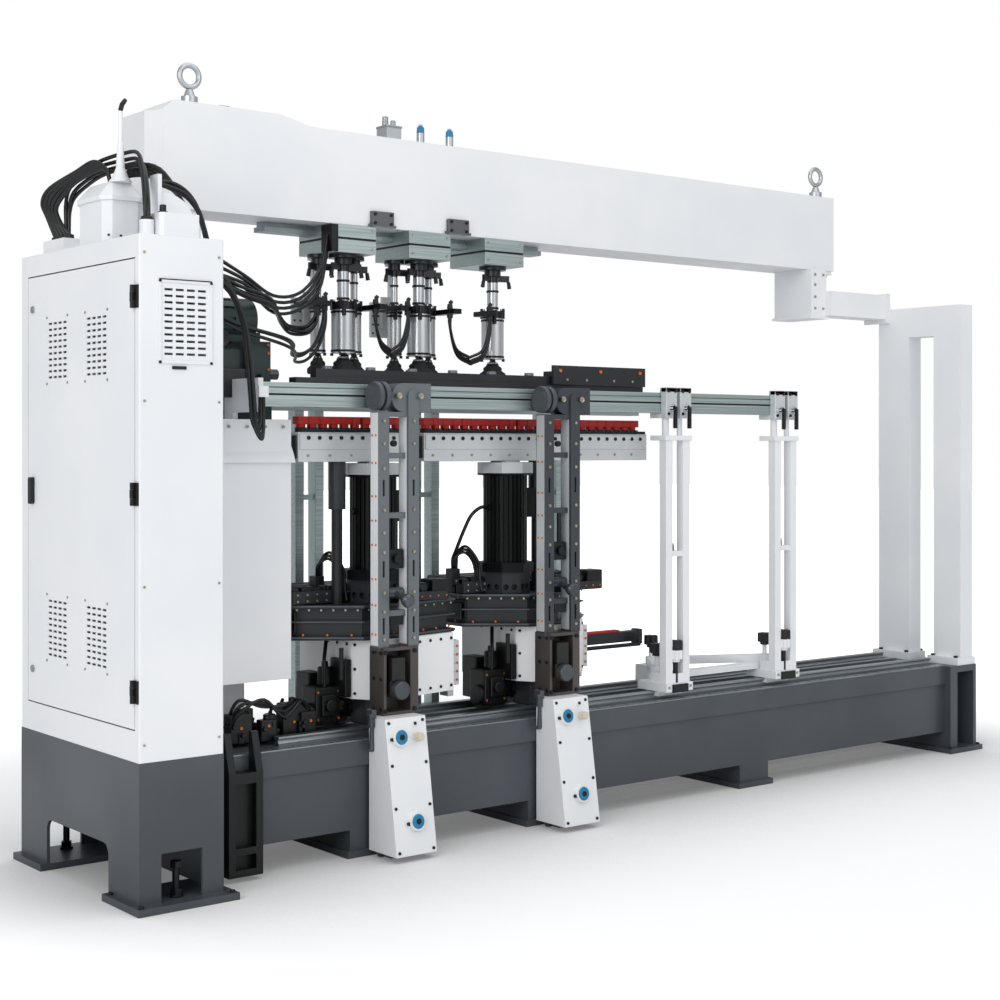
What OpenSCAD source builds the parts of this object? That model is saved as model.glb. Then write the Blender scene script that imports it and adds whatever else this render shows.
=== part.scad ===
// Multi-row line boring machine: cabinet on the left, two boring heads under a front and a rear
// rail, pneumatic hold-downs under a cantilever beam that reaches to a portal on the right.
// Lengths in millimetres. X runs along the machine, Y to its back, Z up.
// Inside the file X = 0, Y = 0 is the front left corner of the cabinet.

/* [Whole machine] */
// Length of the machine over its foot plates
machine_len = 3122; // [3000:1:3300]

/* [Cabinet and pedestal] */
// Width of the cabinet along the machine
cab_w = 205; // [180:1:230]
// Depth of the cabinet and its pedestal
cab_d = 629; // [600:1:680]
// Height of the pedestal
ped_h = 322; // [300:1:360]
// Height of the cabinet above the pedestal
cab_h = 1138; // [1050:1:1200]
// Sheet thickness of the cabinet
cab_sheet = 3; // [2:0.5:4]
// Wall thickness of the pedestal
ped_wall = 8; // [5:1:12]
// Width of the arch in the pedestal's left wall
arch_w = 330; // [200:1:400]
// Height of that arch
arch_h = 123; // [90:1:140]
// Corner radius of the arch
arch_r = 26; // [10:1:40]
// Width of the levelling windows in the pedestal
ped_window_w = 100; // [80:1:120]
// Top of those windows above the floor
ped_window_top = 121; // [90:1:150]
// Reach of a foot plate past what stands on it, to the front and the back
foot_out = 30; // [15:1:40]
// Reach of a foot plate to the left and the right
foot_side = 16; // [10:1:24]
// Thickness of a foot plate
foot_t = 16; // [12:1:20]

/* [Cabinet door] */
// Frame strip at the hinge side
door_near = 20; // [18:1:40]
// Frame strip at the handle side
door_far = 39; // [20:1:60]
// Frame strip below the door
door_low = 67; // [40:1:100]
// Frame strip above the door
door_high = 50; // [30:1:80]
// Gap round the door
door_gap = 3; // [2:0.5:4]
// Depth of the door's folded edge
door_fold = 16; // [10:1:25]
// Length of a hinge
hinge_len = 50; // [40:1:70]
// Outer radius of a hinge knuckle
hinge_r = 5; // [4:0.5:5]
// Radius of a hinge pin
hinge_pin_r = 2.5; // [2:0.1:3]
// Radial clearance of pins and guides in their bores
pin_fit = 0.06; // [0.03:0.01:0.1]
// Distance of the outer hinges from the door's ends
hinge_inset = 82; // [60:1:120]
// Rows of slots in a louvre
vent_rows = 10; // [6:1:12]
// Slots in a row
vent_cols = 4; // [3:1:5]
// Spacing of the rows
vent_row_pitch = 14; // [12:1:16]
// Spacing of the slots in a row
vent_col_pitch = 27; // [20:1:28]
// Height of a slot
vent_slot_h = 5; // [3:1:8]
// Length of a slot
vent_slot_w = 20; // [12:1:18]
// Height of the handle's middle above the door's lower edge
handle_up = 505; // [300:1:700]
// Length of the handle lever
handle_len = 64; // [50:1:90]

/* [Bed] */
// Front face of the front bed beam
bed_y0 = 132; // [120:1:150]
// Depth of each bed beam
bed_beam_d = 130; // [110:1:140]
// Front face of the rear bed beam
rear_y0 = 325; // [310:1:340]
// Underside of the bed beams above the floor
bed_z0 = 67; // [50:1:90]
// Top of the bed beams above the floor
bed_z1 = 283; // [260:1:300]
// Height of the flange band along the top of a bed beam
flange_h = 59; // [40:1:70]
// Step of that band past the web
flange_step = 8; // [4:1:12]
// Width of the foot under the portal
end_foot_w = 136; // [130:1:150]
// Width of the feet under the bed
mid_foot_w = 120; // [90:1:140]
// Width of a guide rail
guide_w = 23; // [20:1:26]
// Height of a guide rail
guide_h = 22; // [18:1:24]
// Running gap between sliding parts and their guides
slide_gap = 0.3; // [0.2:0.1:0.5]

/* [Beam and portal] */
// Left end of the main beam
beam_x0 = 262; // [250:1:275]
// Distance of the main beam's right end from the portal posts
beam_short = 233; // [190:1:270]
// Front face of the main beam
beam_y0 = 456; // [450:1:470]
// Depth of the main beam
beam_d = 163; // [150:1:170]
// Underside of the main beam
beam_z0 = 1592; // [1560:1:1620]
// Height of the main beam
beam_h = 246; // [220:1:260]
// Rise of the beam's top over its left end
hump_h = 22; // [10:1:25]
// Length of that rise
hump_len = 350; // [300:1:400]
// Length of the column under the beam's left end
column_w = 130; // [110:1:150]
// Distance of the portal posts from their foot's left face
post_inset = 59; // [56:1:66]
// Width of a portal post along the machine
portal_w = 64; // [56:1:66]
// Depth of the front portal post
front_post_d = 107; // [90:1:120]
// Depth of the rear portal post
rear_post_d = 128; // [115:1:130]
// Front face of the front portal post
portal_y0 = 116; // [112:1:120]
// Top of the portal
portal_top = 1472; // [1440:1:1500]
// Height of the portal's crossbar
crossbar_h = 99; // [90:1:120]
// Thickness of the portal's base plates
base_plate_t = 24; // [16:1:30]
// Distance of the bracket box's left end from the main beam's right end
arm_box_back = 134; // [120:1:180]
// Length of that box
arm_box_w = 74; // [60:1:90]

/* [Rails] */
// Front face of the front rail
rail_y0 = 170; // [168:1:175]
// Depth of a rail
rail_d = 45; // [40:1:50]
// Top of the rails above the floor
rail_top = 1156; // [1150:1:1160]
// Height of a rail
rail_h = 58; // [50:1:62]
// Left end of the rails
rail_x0 = 388; // [380:1:400]
// Right end of the front rail
rail_x1 = 2255; // [2240:1:2280]
// Right end of the rear rail
rear_rail_x1 = 1960; // [1900:1:2000]
// Depth of a rail's long grooves
groove_d = 6; // [3:1:9]
// Front face of the rear rail
rear_rail_y0 = 535; // [530:1:550]

/* [Boring heads] */
// Spindle spacing
pitch = 32; // [32]
// Spindles of the left head
spindles_1 = 10; // [8:1:10]
// Spindles of the right head
spindles_2 = 24; // [20:1:24]
// Left end of the left gearbox
gear_x1 = 555; // [550:1:560]
// Left end of the right gearbox
gear_x2 = 937; // [935:1:945]
// Length of a gearbox past its outer spindles, both ends together
gear_margin = 24; // [20:1:30]
// Depth of a gearbox
gear_d = 74; // [70:1:80]
// Height of a gearbox
gear_h = 74; // [66:1:80]
// Middle of the spindle row
row_y = 290; // [285:1:295]
// Underside of the gearboxes
gear_z0 = 964; // [960:1:968]
// Radius of a drill chuck
chuck_r = 12; // [10:0.5:14]
// Height of a drill chuck above the gearbox
chuck_h = 32; // [26:1:40]
// Radius of a motor over its fins
motor_r = 60; // [56:1:64]
// Height of a motor body between its flanges
motor_h = 235; // [220:1:240]
// Fins round a motor
motor_fins = 30; // [20:2:36]
// Middle of the left motor
motor_x1 = 800; // [796:1:804]
// Middle of the right motor
motor_x2 = 1234; // [1230:1:1240]
// Radius of a guide post
guide_r = 14; // [12:1:16]
// Stroke of a boring head
head_stroke = 60; // [40:1:70]

/* [Carriages] */
// Middle of the left carriage and its tower
tower_x1 = 760; // [758:1:764]
// Middle of the right carriage and its tower
tower_x2 = 1292; // [1288:1:1296]
// Width of a tower
tower_w = 118; // [112:1:124]
// Width of a tower's upright
upright_w = 32; // [26:1:36]
// Depth of a tower's upright
upright_d = 36; // [30:1:40]
// Front face of the towers
tower_y0 = 120; // [118:1:121]
// Underside of the carriage boxes
box_z0 = 370; // [365:1:376]
// Top of the carriage boxes
box_z1 = 520; // [516:1:526]
// Top of the swivel base on a carriage
swivel_z1 = 606; // [600:1:610]
// Front end of the carriage boxes
box_y0 = 172; // [170:1:174]
// Rear end of the carriage boxes
box_y1 = 480; // [470:1:490]
// Radius of a clamp wheel
wheel_r = 36; // [30:1:38]
// Width of a control console
console_w = 120; // [110:1:130]
// Top of a control console
console_z1 = 341; // [335:1:345]
// Underside of a control console
console_z0 = 15; // [12:1:30]
// Depth of a console at its foot
console_d = 118; // [100:1:122]

/* [Hold-downs] */
// Middle of the hold-down groups along the beam
press_x = [849, 1098, 1359];
// Width of a hold-down's profile block
press_w = 140; // [130:1:150]
// Height of that block
press_h = 75; // [70:1:80]
// Radius of a large cylinder
big_r = 32; // [28:1:34]
// Radius of a small cylinder
small_r = 20; // [16:1:21]
// Offset of the small cylinders from the group's middle
small_dx = 58; // [56:1:60]
// Underside of the cylinder barrels
barrel_z0 = 1252; // [1248:1:1256]
// Height of the cylinder barrels
barrel_h = 117; // [110:1:125]
// Radius of a press rod
rod_r = 7; // [6:0.5:8]
// Radius of the large rubber feet
big_foot_r = 37; // [32:1:38]
// Radius of the small rubber feet
small_foot_r = 28; // [24:1:29]
// Height of a rubber foot
rubber_h = 42; // [36:1:46]
// Stroke of a press rod
press_stroke = 40; // [30:1:45]

/* [Support posts] */
// Middle of the left support post
support_x1 = 1748; // [1740:1:1756]
// Middle of the right support post
support_x2 = 2200; // [2190:1:2206]
// Width of a support post
support_w = 94; // [90:1:100]
// Width of a square tube in a post
tube_w = 26; // [22:1:30]
// Top of the support posts
support_z1 = 1034; // [1020:1:1040]

/* [Side boring unit] */
// Left face of the side unit's housing
side_x0 = 335; // [330:1:340]
// Width of the housing
side_w = 190; // [185:1:192]
// Front face of the housing
side_y0 = 240; // [235:1:250]
// Depth of the housing
side_d = 215; // [200:1:216]
// Top of the housing
side_z1 = 1068; // [1060:1:1075]

/* [Hidden] */

// Small value by which cutters pass through a face
eps = 1;
// Facet count of the round parts
round_fn = 48;
$fn = round_fn;

// Reach of the pedestal's foot plates behind it
foot_back = 12;
// Outer limits of the machine on the floor
x_min = -foot_side;
x_max = x_min + machine_len;
y_min = -foot_out;
y_max = cab_d + foot_back;
mid_x = (x_min + x_max) / 2;
mid_y = (y_min + y_max) / 2;
// The portal, its bracket and the main beam's end follow the right end
end_foot_x0 = x_max - foot_side - end_foot_w;
post_x0 = end_foot_x0 + post_inset;
beam_x1 = post_x0 - beam_short;
arm_box_x0 = beam_x1 - arm_box_back;

cab_top = ped_h + cab_h;
ped_mid = cab_w / 2;
door_y0 = door_near + door_gap;
door_y1 = cab_d - door_far - door_gap;
door_z0 = ped_h + door_low + door_gap;
door_z1 = cab_top - door_high - door_gap;
hinge_y = door_near + door_gap / 2;
hinge_x = -hinge_r - 1;
hinge_leaf_t = 3;
hinge_zs = [door_z0 + hinge_inset, (door_z0 + door_z1) / 2, door_z1 - hinge_inset];
handle_y = door_y1 - 28;
handle_z = door_z0 + handle_up;

bed_y1 = bed_y0 + bed_beam_d;
rear_y1 = rear_y0 + bed_beam_d;
end_foot_x1 = end_foot_x0 + end_foot_w;
front_guide_y = bed_y0 + 70;
rear_guide_y = rear_y0 + 71;
guide_z1 = bed_z1 + guide_h;
foot_xs = [691, 1252, 2056];

beam_y1 = beam_y0 + beam_d;
beam_z1 = beam_z0 + beam_h;
beam_mid_y = beam_y0 + beam_d / 2;
rail_z0 = rail_top - rail_h;
rear_rail_y1 = rear_rail_y0 + rail_d;
gear_z1 = gear_z0 + gear_h;
flange_t = 30;
motor_z0 = gear_z0 - 9 - flange_t - motor_h;
base_z0 = swivel_z1 + slide_gap;
press_z0 = beam_z0 - press_h;
main_cyl_y = beam_y0 + 49;
small_cyl_y = beam_y0 + 84;
rubber_top = barrel_z0 - 13;
rubber_z0 = rubber_top - rubber_h;
console_top_d = 68;

WHITE = "#f1f2f3";
SLATE = "#464b52";
STEEL = "#a9b4b5";
BLACK = "#17181a";
GREY = "#6f7679";

// The whole machine is moved so that its origin is the middle of the floor it covers.
module framed() {
    translate([-mid_x, -mid_y, 0]) children();
}

// A block given by its two opposite corners.
module block(a, b) {
    translate(a) cube(b - a);
}

// A rectangle with rounded corners, from its lower left corner.
module round_rect(w, h, r) {
    translate([r, 0]) square([w - 2 * r, h]);
    translate([0, r]) square([w, h - 2 * r]);
    for (x = [r, w - r], y = [r, h - r]) translate([x, y]) circle(r, $fn = 24);
}

// A profile in the X-Z plane, drawn as [x, z], swept from y to y + d.
module along_y(y, d) {
    translate([0, y + d, 0]) rotate([90, 0, 0]) linear_extrude(d) children();
}

// A profile in the Y-Z plane, drawn as [y, z], swept from x to x + w.
module along_x(x, w) {
    translate([x, 0, 0]) rotate([90, 0, 90]) linear_extrude(w) children();
}

// A round bar along X.
module bar_x(x, y, z, len, r) {
    translate([x, y, z]) rotate([0, 90, 0]) cylinder(len, r, r);
}

// A round bar along Y.
module bar_y(x, y, z, len, r) {
    translate([x, y, z]) rotate([-90, 0, 0]) cylinder(len, r, r);
}

// A round bar along Z.
module bar_z(x, y, z, len, r) {
    translate([x, y, z]) cylinder(len, r, r);
}

// A grid of louvre slots round the origin.
module louvre(rows) {
    for (i = [0 : vent_cols - 1], j = [0 : rows - 1])
        translate([(i - (vent_cols - 1) / 2) * vent_col_pitch, (j - (rows - 1) / 2) * vent_row_pitch])
            square([vent_slot_w, vent_slot_h], center = true);
}

// The same outline drawn in by d on every side, with sharp corners.
function unit2(v) = v / norm(v);
function turn(v) = [-v[1], v[0]];
function inset(pts, d) = [for (i = [0 : len(pts) - 1])
    let (n = len(pts), a = pts[(i + n - 1) % n], b = pts[i], c = pts[(i + 1) % n],
         u = turn(unit2(b - a)), v = turn(unit2(c - b)))
    b + d * (u + v) / (1 + u * v)];

// A rail profile with two grooves in its front and back, drawn as [y, z] from its lower front corner.
module rail_profile() {
    difference() {
        square([rail_d, rail_h]);
        for (y = [0, rail_d]) {
            translate([y, rail_h / 2]) square([2 * groove_d, rail_h / 12], center = true);
            translate([y, rail_h * 0.8]) square([groove_d / 2, rail_h / 20], center = true);
        }
    }
}

// A guide rail profile with undercut sides, drawn as [y, z] round its middle.
function guide_points(grow) = [
    [-guide_w / 2 - grow, 0], [guide_w / 2 + grow, 0], [guide_w / 2 + grow, guide_h * 0.3],
    [guide_w / 2 - 4 + grow, guide_h * 0.5], [guide_w / 2 - 4 + grow, guide_h * 0.62],
    [guide_w / 2 + grow, guide_h * 0.8], [guide_w / 2 + grow, guide_h + grow],
    [-guide_w / 2 - grow, guide_h + grow], [-guide_w / 2 - grow, guide_h * 0.8],
    [-guide_w / 2 + 4 - grow, guide_h * 0.62], [-guide_w / 2 + 4 - grow, guide_h * 0.5],
    [-guide_w / 2 - grow, guide_h * 0.3]];

// Pedestal: a plate box, open below, with an arch in its left wall and levelling windows.
module pedestal() color(SLATE) framed() {
    difference() {
        block([0, 0, foot_t], [cab_w, cab_d, ped_h]);
        block([ped_wall, ped_wall, foot_t - eps], [cab_w - ped_wall, cab_d - ped_wall, ped_h - ped_wall]);
        along_x(-eps, ped_wall + 2 * eps) translate([(cab_d - arch_w) / 2, foot_t - arch_r])
            round_rect(arch_w, arch_h - foot_t + arch_r, arch_r);
        block([ped_mid - ped_window_w / 2, -eps, foot_t - eps],
            [ped_mid + ped_window_w / 2, cab_d + eps, ped_window_top]);
    }
    difference() {
        union() {
            block([-foot_side, -foot_out, 0], [cab_w + foot_side + 8, (cab_d - arch_w) / 2, foot_t]);
            block([-foot_side, (cab_d + arch_w) / 2, 0], [cab_w + foot_side + 8, cab_d + foot_back, foot_t]);
        }
        for (y = [ped_bolt_y, cab_d - ped_bolt_y]) bar_z(ped_mid, y, -eps, foot_t + 2 * eps, bolt_r + 0.5);
    }
}
bolt_r = 8;
ped_bolt_y = 30;
end_bolt_x = end_foot_x0 + end_foot_w / 2;
end_bolt_y = portal_y0 + 40;

// A levelling bolt on the floor: shank, lock nut and hexagon head.
module levelling_bolt(x, y) {
    bar_z(x, y, 0, 92, bolt_r);
    bar_z(x, y, foot_t, 5, 2 * bolt_r);
    translate([x, y, foot_t + 5]) cylinder(13, bolt_r * 1.7, bolt_r * 1.7, $fn = 6);
    translate([x, y, 80]) cylinder(14, bolt_r * 1.7, bolt_r * 1.7, $fn = 6);
}

module levelling_bolts() color(BLACK) framed() {
    levelling_bolt(ped_mid, ped_bolt_y);
    levelling_bolt(ped_mid, cab_d - ped_bolt_y);
    levelling_bolt(end_bolt_x, end_bolt_y);
}

// Cabinet: a folded sheet box with a door opening on its left and a louvre in its front.
module cabinet_shell() color(WHITE) framed() difference() {
    translate([0, 0, ped_h]) linear_extrude(cab_h) round_rect(cab_w, cab_d, 4);
    block([cab_sheet, cab_sheet, ped_h + cab_sheet], [cab_w - cab_sheet, cab_d - cab_sheet, cab_top - cab_sheet]);
    block([-eps, door_near, ped_h + door_low], [cab_sheet + eps, cab_d - door_far, cab_top - door_high]);
    translate([ped_mid + 8, 0, side_vent_z]) along_y(-eps, cab_sheet + 2 * eps) louvre(vent_rows + 1);
}
side_vent_z = cab_top - 187;

// Hinges on the frame: a leaf, the two outer knuckles and the pin of each.
module door_hinges() color(BLACK) framed() for (z = hinge_zs) translate([0, 0, z - hinge_len / 2]) {
    for (z0 = [0, hinge_len * 0.7]) {
        bar_z(hinge_x, hinge_y, z0, hinge_len * 0.3, hinge_r);
        block([hinge_x, hinge_y - hinge_r - 1, z0], [0, hinge_y - hinge_r + hinge_leaf_t, z0 + hinge_len * 0.3]);
    }
    block([-hinge_leaf_t, 2, 0], [0, hinge_y - hinge_r - slide_gap, hinge_len]);
    bar_z(hinge_x, hinge_y, 0, hinge_len, hinge_pin_r);
}

// Door: a sheet with folded edges, four louvres, a pull recess and the middle knuckles of its hinges.
module cabinet_door() color(WHITE) framed() {
    difference() {
        block([0, door_y0, door_z0], [door_fold, door_y1, door_z1]);
        block([cab_sheet, door_y0 + cab_sheet, door_z0 + cab_sheet],
            [door_fold + eps, door_y1 - cab_sheet, door_z1 - cab_sheet]);
        for (y = door_vent_ys, z = door_vent_zs)
            translate([0, y, z]) along_x(-eps, cab_sheet + 2 * eps) louvre(vent_rows);
        bar_x(-eps, handle_y, handle_z, cab_sheet + 2 * eps, handle_pin_r + pin_fit);
    }
    difference() {
        for (z = hinge_zs) {
            bar_z(hinge_x, hinge_y, z - hinge_len * 0.2 + slide_gap, hinge_len * 0.4 - 2 * slide_gap, hinge_r);
            block([hinge_x, hinge_y + hinge_r - hinge_leaf_t, z - hinge_len * 0.2 + slide_gap],
                [0, hinge_y + hinge_r + 14, z + hinge_len * 0.2 - slide_gap]);
        }
        for (z = hinge_zs) bar_z(hinge_x, hinge_y, z - hinge_len, 2 * hinge_len, hinge_pin_r + pin_fit);
        for (z = hinge_zs) block([hinge_x - hinge_r, hinge_y + hinge_r + 0.5, z - hinge_len],
            [-hinge_leaf_t, hinge_y + hinge_r + 15, z + hinge_len]);
    }
}
door_vent_ys = [door_y0 + 188, door_y0 + 397];
door_vent_zs = [door_z0 + 184, door_z1 - 179];
handle_pin_r = 7;

// Handle: a flat lever on a spindle through the door, with a cam behind it.
module door_handle() color(BLACK) framed() {
    along_x(-10, 9.7) translate([handle_y - 9, handle_z - handle_len / 2]) round_rect(18, handle_len, 6);
    bar_x(-1, handle_y, handle_z, cab_sheet + 5, handle_pin_r);
    block([cab_sheet + slide_gap, handle_y - 9, handle_z - 30], [cab_sheet + 4, handle_y + 9, handle_z + 9]);
}

// Cable cover on the cabinet: a faceted hood with a cone spout, two plug housings, a junction box with
// its knob, and a saddle with an outlet plate for the feed hoses.
module cable_cover() color(WHITE) framed() {
    translate([0, 0, cab_top]) linear_extrude(cover_h - cover_slope) polygon(cover_outline);
    hull() {
        translate([0, 0, cab_top + cover_h - cover_slope]) linear_extrude(10) polygon(inset(cover_outline, -cover_lip));
        translate([0, 0, cab_top + cover_h - 1]) linear_extrude(1) polygon(inset(cover_outline, cover_slope / 2));
    }
    translate([spout_x, spout_y, cab_top + cover_h - 1]) rotate_extrude() polygon([[0, 0], [26, 0], [26, 3],
        [18, 12], [10, 34], [7, 84], [5, 94], [5, 164], [0, 164]]);
    block([22, 436, cab_top], [70, 550, cab_top + 34]);
    bar_z(socket_x, socket_y, cab_top, 42, 16);
    difference() {
        block([78, 52, cab_top], [172, 108, cab_top + 58]);
        translate([78, 52, cab_top + 58]) rotate([0, 0, 45]) cube([12, 12, 140], center = true);
    }
    bar_z(92, 70, cab_top + 57, 17, 7);
    along_y(112, 26) polygon(concat([[saddle_x, cab_top]], [for (a = [90 : -15 : 15])
        [saddle_x + 84 * cos(a), cab_top + 50 + 62 * sin(a)]], [[saddle_x + 84, cab_top]]));
    block([saddle_x - 10, 106, cab_top], [saddle_x, 146, cab_top + 150]);
}
cover_h = 140;
cover_slope = 44;
cover_lip = 6;
cover_outline = [[14, 214], [30, 192], [92, 192], [114, 214], [114, 328], [92, 352], [30, 352], [14, 328]];
spout_x = 60;
spout_y = 214;
socket_x = 62;
socket_y = 88;
saddle_x = 108;

// Main beam: a box with a low hump over its left end, and the column that carries that end.
module main_beam() color(WHITE) framed() {
    intersection() {
        along_y(beam_y0, beam_d) polygon(concat([[beam_x0, beam_z0], [beam_x1, beam_z0], [beam_x1, beam_z1]],
            [for (i = [0 : 10]) [beam_x0 + hump_len + 120 - 12 * i, beam_z1 + hump_h * (1 - cos(18 * i)) / 2]],
            [[beam_x0 + 60, beam_z1 + hump_h], [beam_x0 + 24, beam_z1 - 6], [beam_x0, beam_z1 - 6]]));
        translate([0, 0, beam_z0 - eps]) linear_extrude(beam_h + hump_h + 2 * eps) polygon([[beam_x0, beam_y0 + 44],
            [beam_x0 + 30, beam_y0], [beam_x1, beam_y0], [beam_x1, beam_y1], [beam_x0, beam_y1]]);
    }
    block([column_x0, column_y0, bed_z1 + base_plate_t], [column_x0 + column_w, beam_y1 - 10, beam_z0]);
    block([column_x0 - 6, column_y0 - 10, bed_z1], [column_x0 + column_w + 20, beam_y1 + 6, bed_z1 + base_plate_t]);
}
column_x0 = beam_x0 + 8;
column_y0 = beam_y0 + 10;

// An eye bolt: ring, neck and collar.
module eye_bolt(x, z) translate([x, beam_y0 + 40, z]) {
    cylinder(20, 21, 21);
    translate([0, 0, 20]) cylinder(18, 15, 9);
    translate([0, 0, 72]) rotate([90, 0, 0]) rotate_extrude($fn = 36) translate([27, 0]) circle(7, $fn = 16);
}

// An air coupling on the beam's top.
module air_coupling(x) translate([x, beam_mid_y, beam_z1]) {
    cylinder(10, 16, 16, $fn = 6);
    translate([0, 0, 10]) cylinder(32, 11, 11);
    translate([0, 0, 42]) cylinder(22, 6, 6);
}

// What is bolted to the beam: eye bolts, valve, couplings, the T-rail of the hold-downs and two clamps.
module beam_fittings() color(STEEL) framed() {
    eye_bolt(beam_x0 + 122, beam_z1 + hump_h);
    eye_bolt(beam_x1 - 45, beam_z1);
    translate([beam_x0 + 236, beam_mid_y, beam_z1 + hump_h]) cylinder(16, 26, 22);
    block([beam_x0 + 735, beam_mid_y - 25, beam_z1], [beam_x0 + 783, beam_mid_y + 25, beam_z1 + 42]);
    for (x = [866, 967]) air_coupling(beam_x0 + x);
    for (i = [0 : 3]) bar_z(beam_x0 + 1014 + 19 * i, beam_mid_y, beam_z1, 10, 5);
    along_x(trail_x0, trail_x1 - trail_x0) {
        translate([trail_y - trail_neck / 2, beam_z0 - trail_h]) square([trail_neck, trail_h]);
        translate([trail_y - trail_head / 2, beam_z0 - trail_h]) square([trail_head, trail_h / 2]);
    }
    for (x = [938, 1193]) {
        block([x - 35, beam_y0 - 12, beam_z0], [x + 35, beam_y0, beam_z0 + 42]);
        bar_x(x - 43, beam_y0 - 7, beam_z0 + 4, 86, 4);
    }
}
trail_x0 = 620;
trail_x1 = 1560;
trail_y = beam_y0 + 100;
trail_h = 26;
trail_neck = 26;
trail_head = 54;

// A bed beam: web box, flange band with its step, drawn as [y, z] from its front face.
module bed_profile() {
    translate([flange_step, bed_z0]) square([bed_beam_d - 2 * flange_step, bed_z1 - bed_z0]);
    translate([0, bed_z1 - flange_h]) square([bed_beam_d, flange_h]);
}

// Bed: two long beams, cross members on feet, the block under the beam's column and the end foot.
module bed_frame() color(SLATE) framed() {
    along_x(cab_w, end_foot_x0 - cab_w) translate([bed_y0, 0]) bed_profile();
    along_x(cab_w, end_foot_x0 - cab_w) translate([rear_y0, 0]) bed_profile();
    for (x = foot_xs) {
        block([x - mid_foot_w / 2, bed_y0 + flange_step, foot_t],
            [x + mid_foot_w / 2, rear_y1 - flange_step, bed_z0 + 90]);
        block([x - mid_foot_w / 2 - 12, bed_y0 - 1, 0], [x + mid_foot_w / 2 + 12, rear_y1 + 6, foot_t]);
    }
    block([cab_w, bed_y1 - flange_step, bed_z0], [cab_w + 130, rear_y0 + flange_step, bed_z1 - flange_h]);
    block([column_x0 - 20, rear_y1 - flange_step, foot_t], [column_x0 + column_w + 30, beam_y1 + 8, bed_z1]);
    block([column_x0 - 30, rear_y1 - flange_step, 0], [column_x0 + column_w + 42, beam_y1 + 20, foot_t]);
    for (x = stand_xs) block([x - stand_w / 2 - 12, rear_y1 - flange_step, 180],
        [x + stand_w / 2 + 12, rear_rail_y1, bed_z1 - 20]);
    difference() {
        block([end_foot_x0, portal_y0 - 6, foot_t], [end_foot_x1, rear_y1 + 20, bed_z1]);
        block([end_foot_x0 + 36, portal_y0 - 6 - eps, foot_t - eps], [end_foot_x1 - 15, portal_y0 + 90, bed_z1 - 21]);
        block([end_foot_x0 + 20, portal_y0 + 120, foot_t - eps], [end_foot_x1 - 15, rear_y1 - 20, bed_z1 - 21]);
    }
    difference() {
        block([end_foot_x0 - foot_out / 2, portal_y0 - 20, 0], [x_max, rear_y1 + 34, foot_t]);
        bar_z(end_bolt_x, end_bolt_y, -eps, foot_t + 2 * eps, bolt_r + 0.5);
    }
}
stand_xs = [765, 1150, 1610];
stand_w = 88;

// Rails on the bed: guide rails, flat wear strips and the scale strip along the front edge.
module bed_rails() color(STEEL) framed() {
    for (y = [front_guide_y, rear_guide_y])
        along_x(guide_x0, end_foot_x0 - guide_x0) translate([y, bed_z1]) polygon(guide_points(0));
    block([cab_w + 40, bed_y0 + 3, bed_z1], [end_foot_x0, bed_y0 + 30, bed_z1 + 3]);
    block([guide_x0, bed_y1 - 30, bed_z1], [end_foot_x0, bed_y1 - 6, bed_z1 + 8]);
    block([guide_x0, rear_y0 + 6, bed_z1], [end_foot_x0, rear_y0 + 28, bed_z1 + 8]);
}
guide_x0 = column_x0 + column_w + 60;

// Bracket for the energy chain at the bed's left end: an upright tray open to the front.
module chain_bracket() color(SLATE) framed() difference() {
    union() {
        block([272, bed_y0 - 36, 12], [362, bed_y0, 250]);
        along_x(272, 90) polygon([[bed_y0, 250], [bed_y0 - 36, 250], [bed_y0 - 12, 340], [bed_y0, 340]]);
    }
    block([290, bed_y0 - 36 - eps, 78], [344, bed_y0 - 14, 225]);
    block([290, bed_y0 - 36 - eps, 28], [344, bed_y0 - 14, 62]);
    block([290, bed_y0 - 36 - eps, 250], [344, bed_y0 + eps, 341]);
}

// Portal: two posts on base plates, joined by a crossbar.
module portal_frame() color(WHITE) framed() {
    block([post_x0, portal_y0, bed_z1], [post_x0 + portal_w, portal_y0 + front_post_d, portal_top]);
    block([post_x0, rear_y0, bed_z1], [post_x0 + portal_w, rear_y0 + rear_post_d, portal_top]);
    block([post_x0, portal_y0, portal_top - crossbar_h], [post_x0 + portal_w, rear_y0, portal_top]);
    block([post_x0 - 18, portal_y0 - 4, bed_z1],
        [post_x0 + portal_w + 10, portal_y0 + front_post_d + 12, bed_z1 + base_plate_t]);
    block([post_x0 - 18, rear_y0 - 12, bed_z1],
        [post_x0 + portal_w + 10, rear_y0 + rear_post_d + 12, bed_z1 + base_plate_t]);
}

// Arm from the rear post to the box that carries the beam's right end.
module beam_arm() color(WHITE) framed() {
    block([arm_box_x0, beam_y0 - 20, arm_z0 - 4], [arm_box_x0 + arm_box_w, beam_y1 - 20, beam_z0]);
    block([arm_box_x0 + arm_box_w - eps, arm_y, arm_z0], [post_x0, arm_y + 84, arm_z0 + arm_h]);
    block([arm_box_x0 - 12, beam_y0 - 28, arm_z0 - 12], [arm_box_x0 + arm_box_w, beam_y1 - 20, arm_z0 - 4]);
    block([post_x0 - 14, arm_y - 12, arm_z0 - 14], [post_x0, arm_y + 90, portal_top + 54]);
    block([arm_box_x0 + arm_box_w - eps, beam_y0 + 4, beam_z0 - 12], [arm_box_x0 + arm_box_w + 54, beam_y1 - 20, beam_z0]);
    for (x = [12, 40], y = [20, 100])
        bar_z(arm_box_x0 + arm_box_w + x, beam_y0 + y, beam_z0 - 22, 12, 7);
}
arm_y = 416;
arm_z0 = 1439;
arm_h = 82;

module front_rail() color(STEEL) framed()
    along_x(rail_x0, rail_x1 - rail_x0) translate([rail_y0, rail_z0]) rail_profile();

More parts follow.
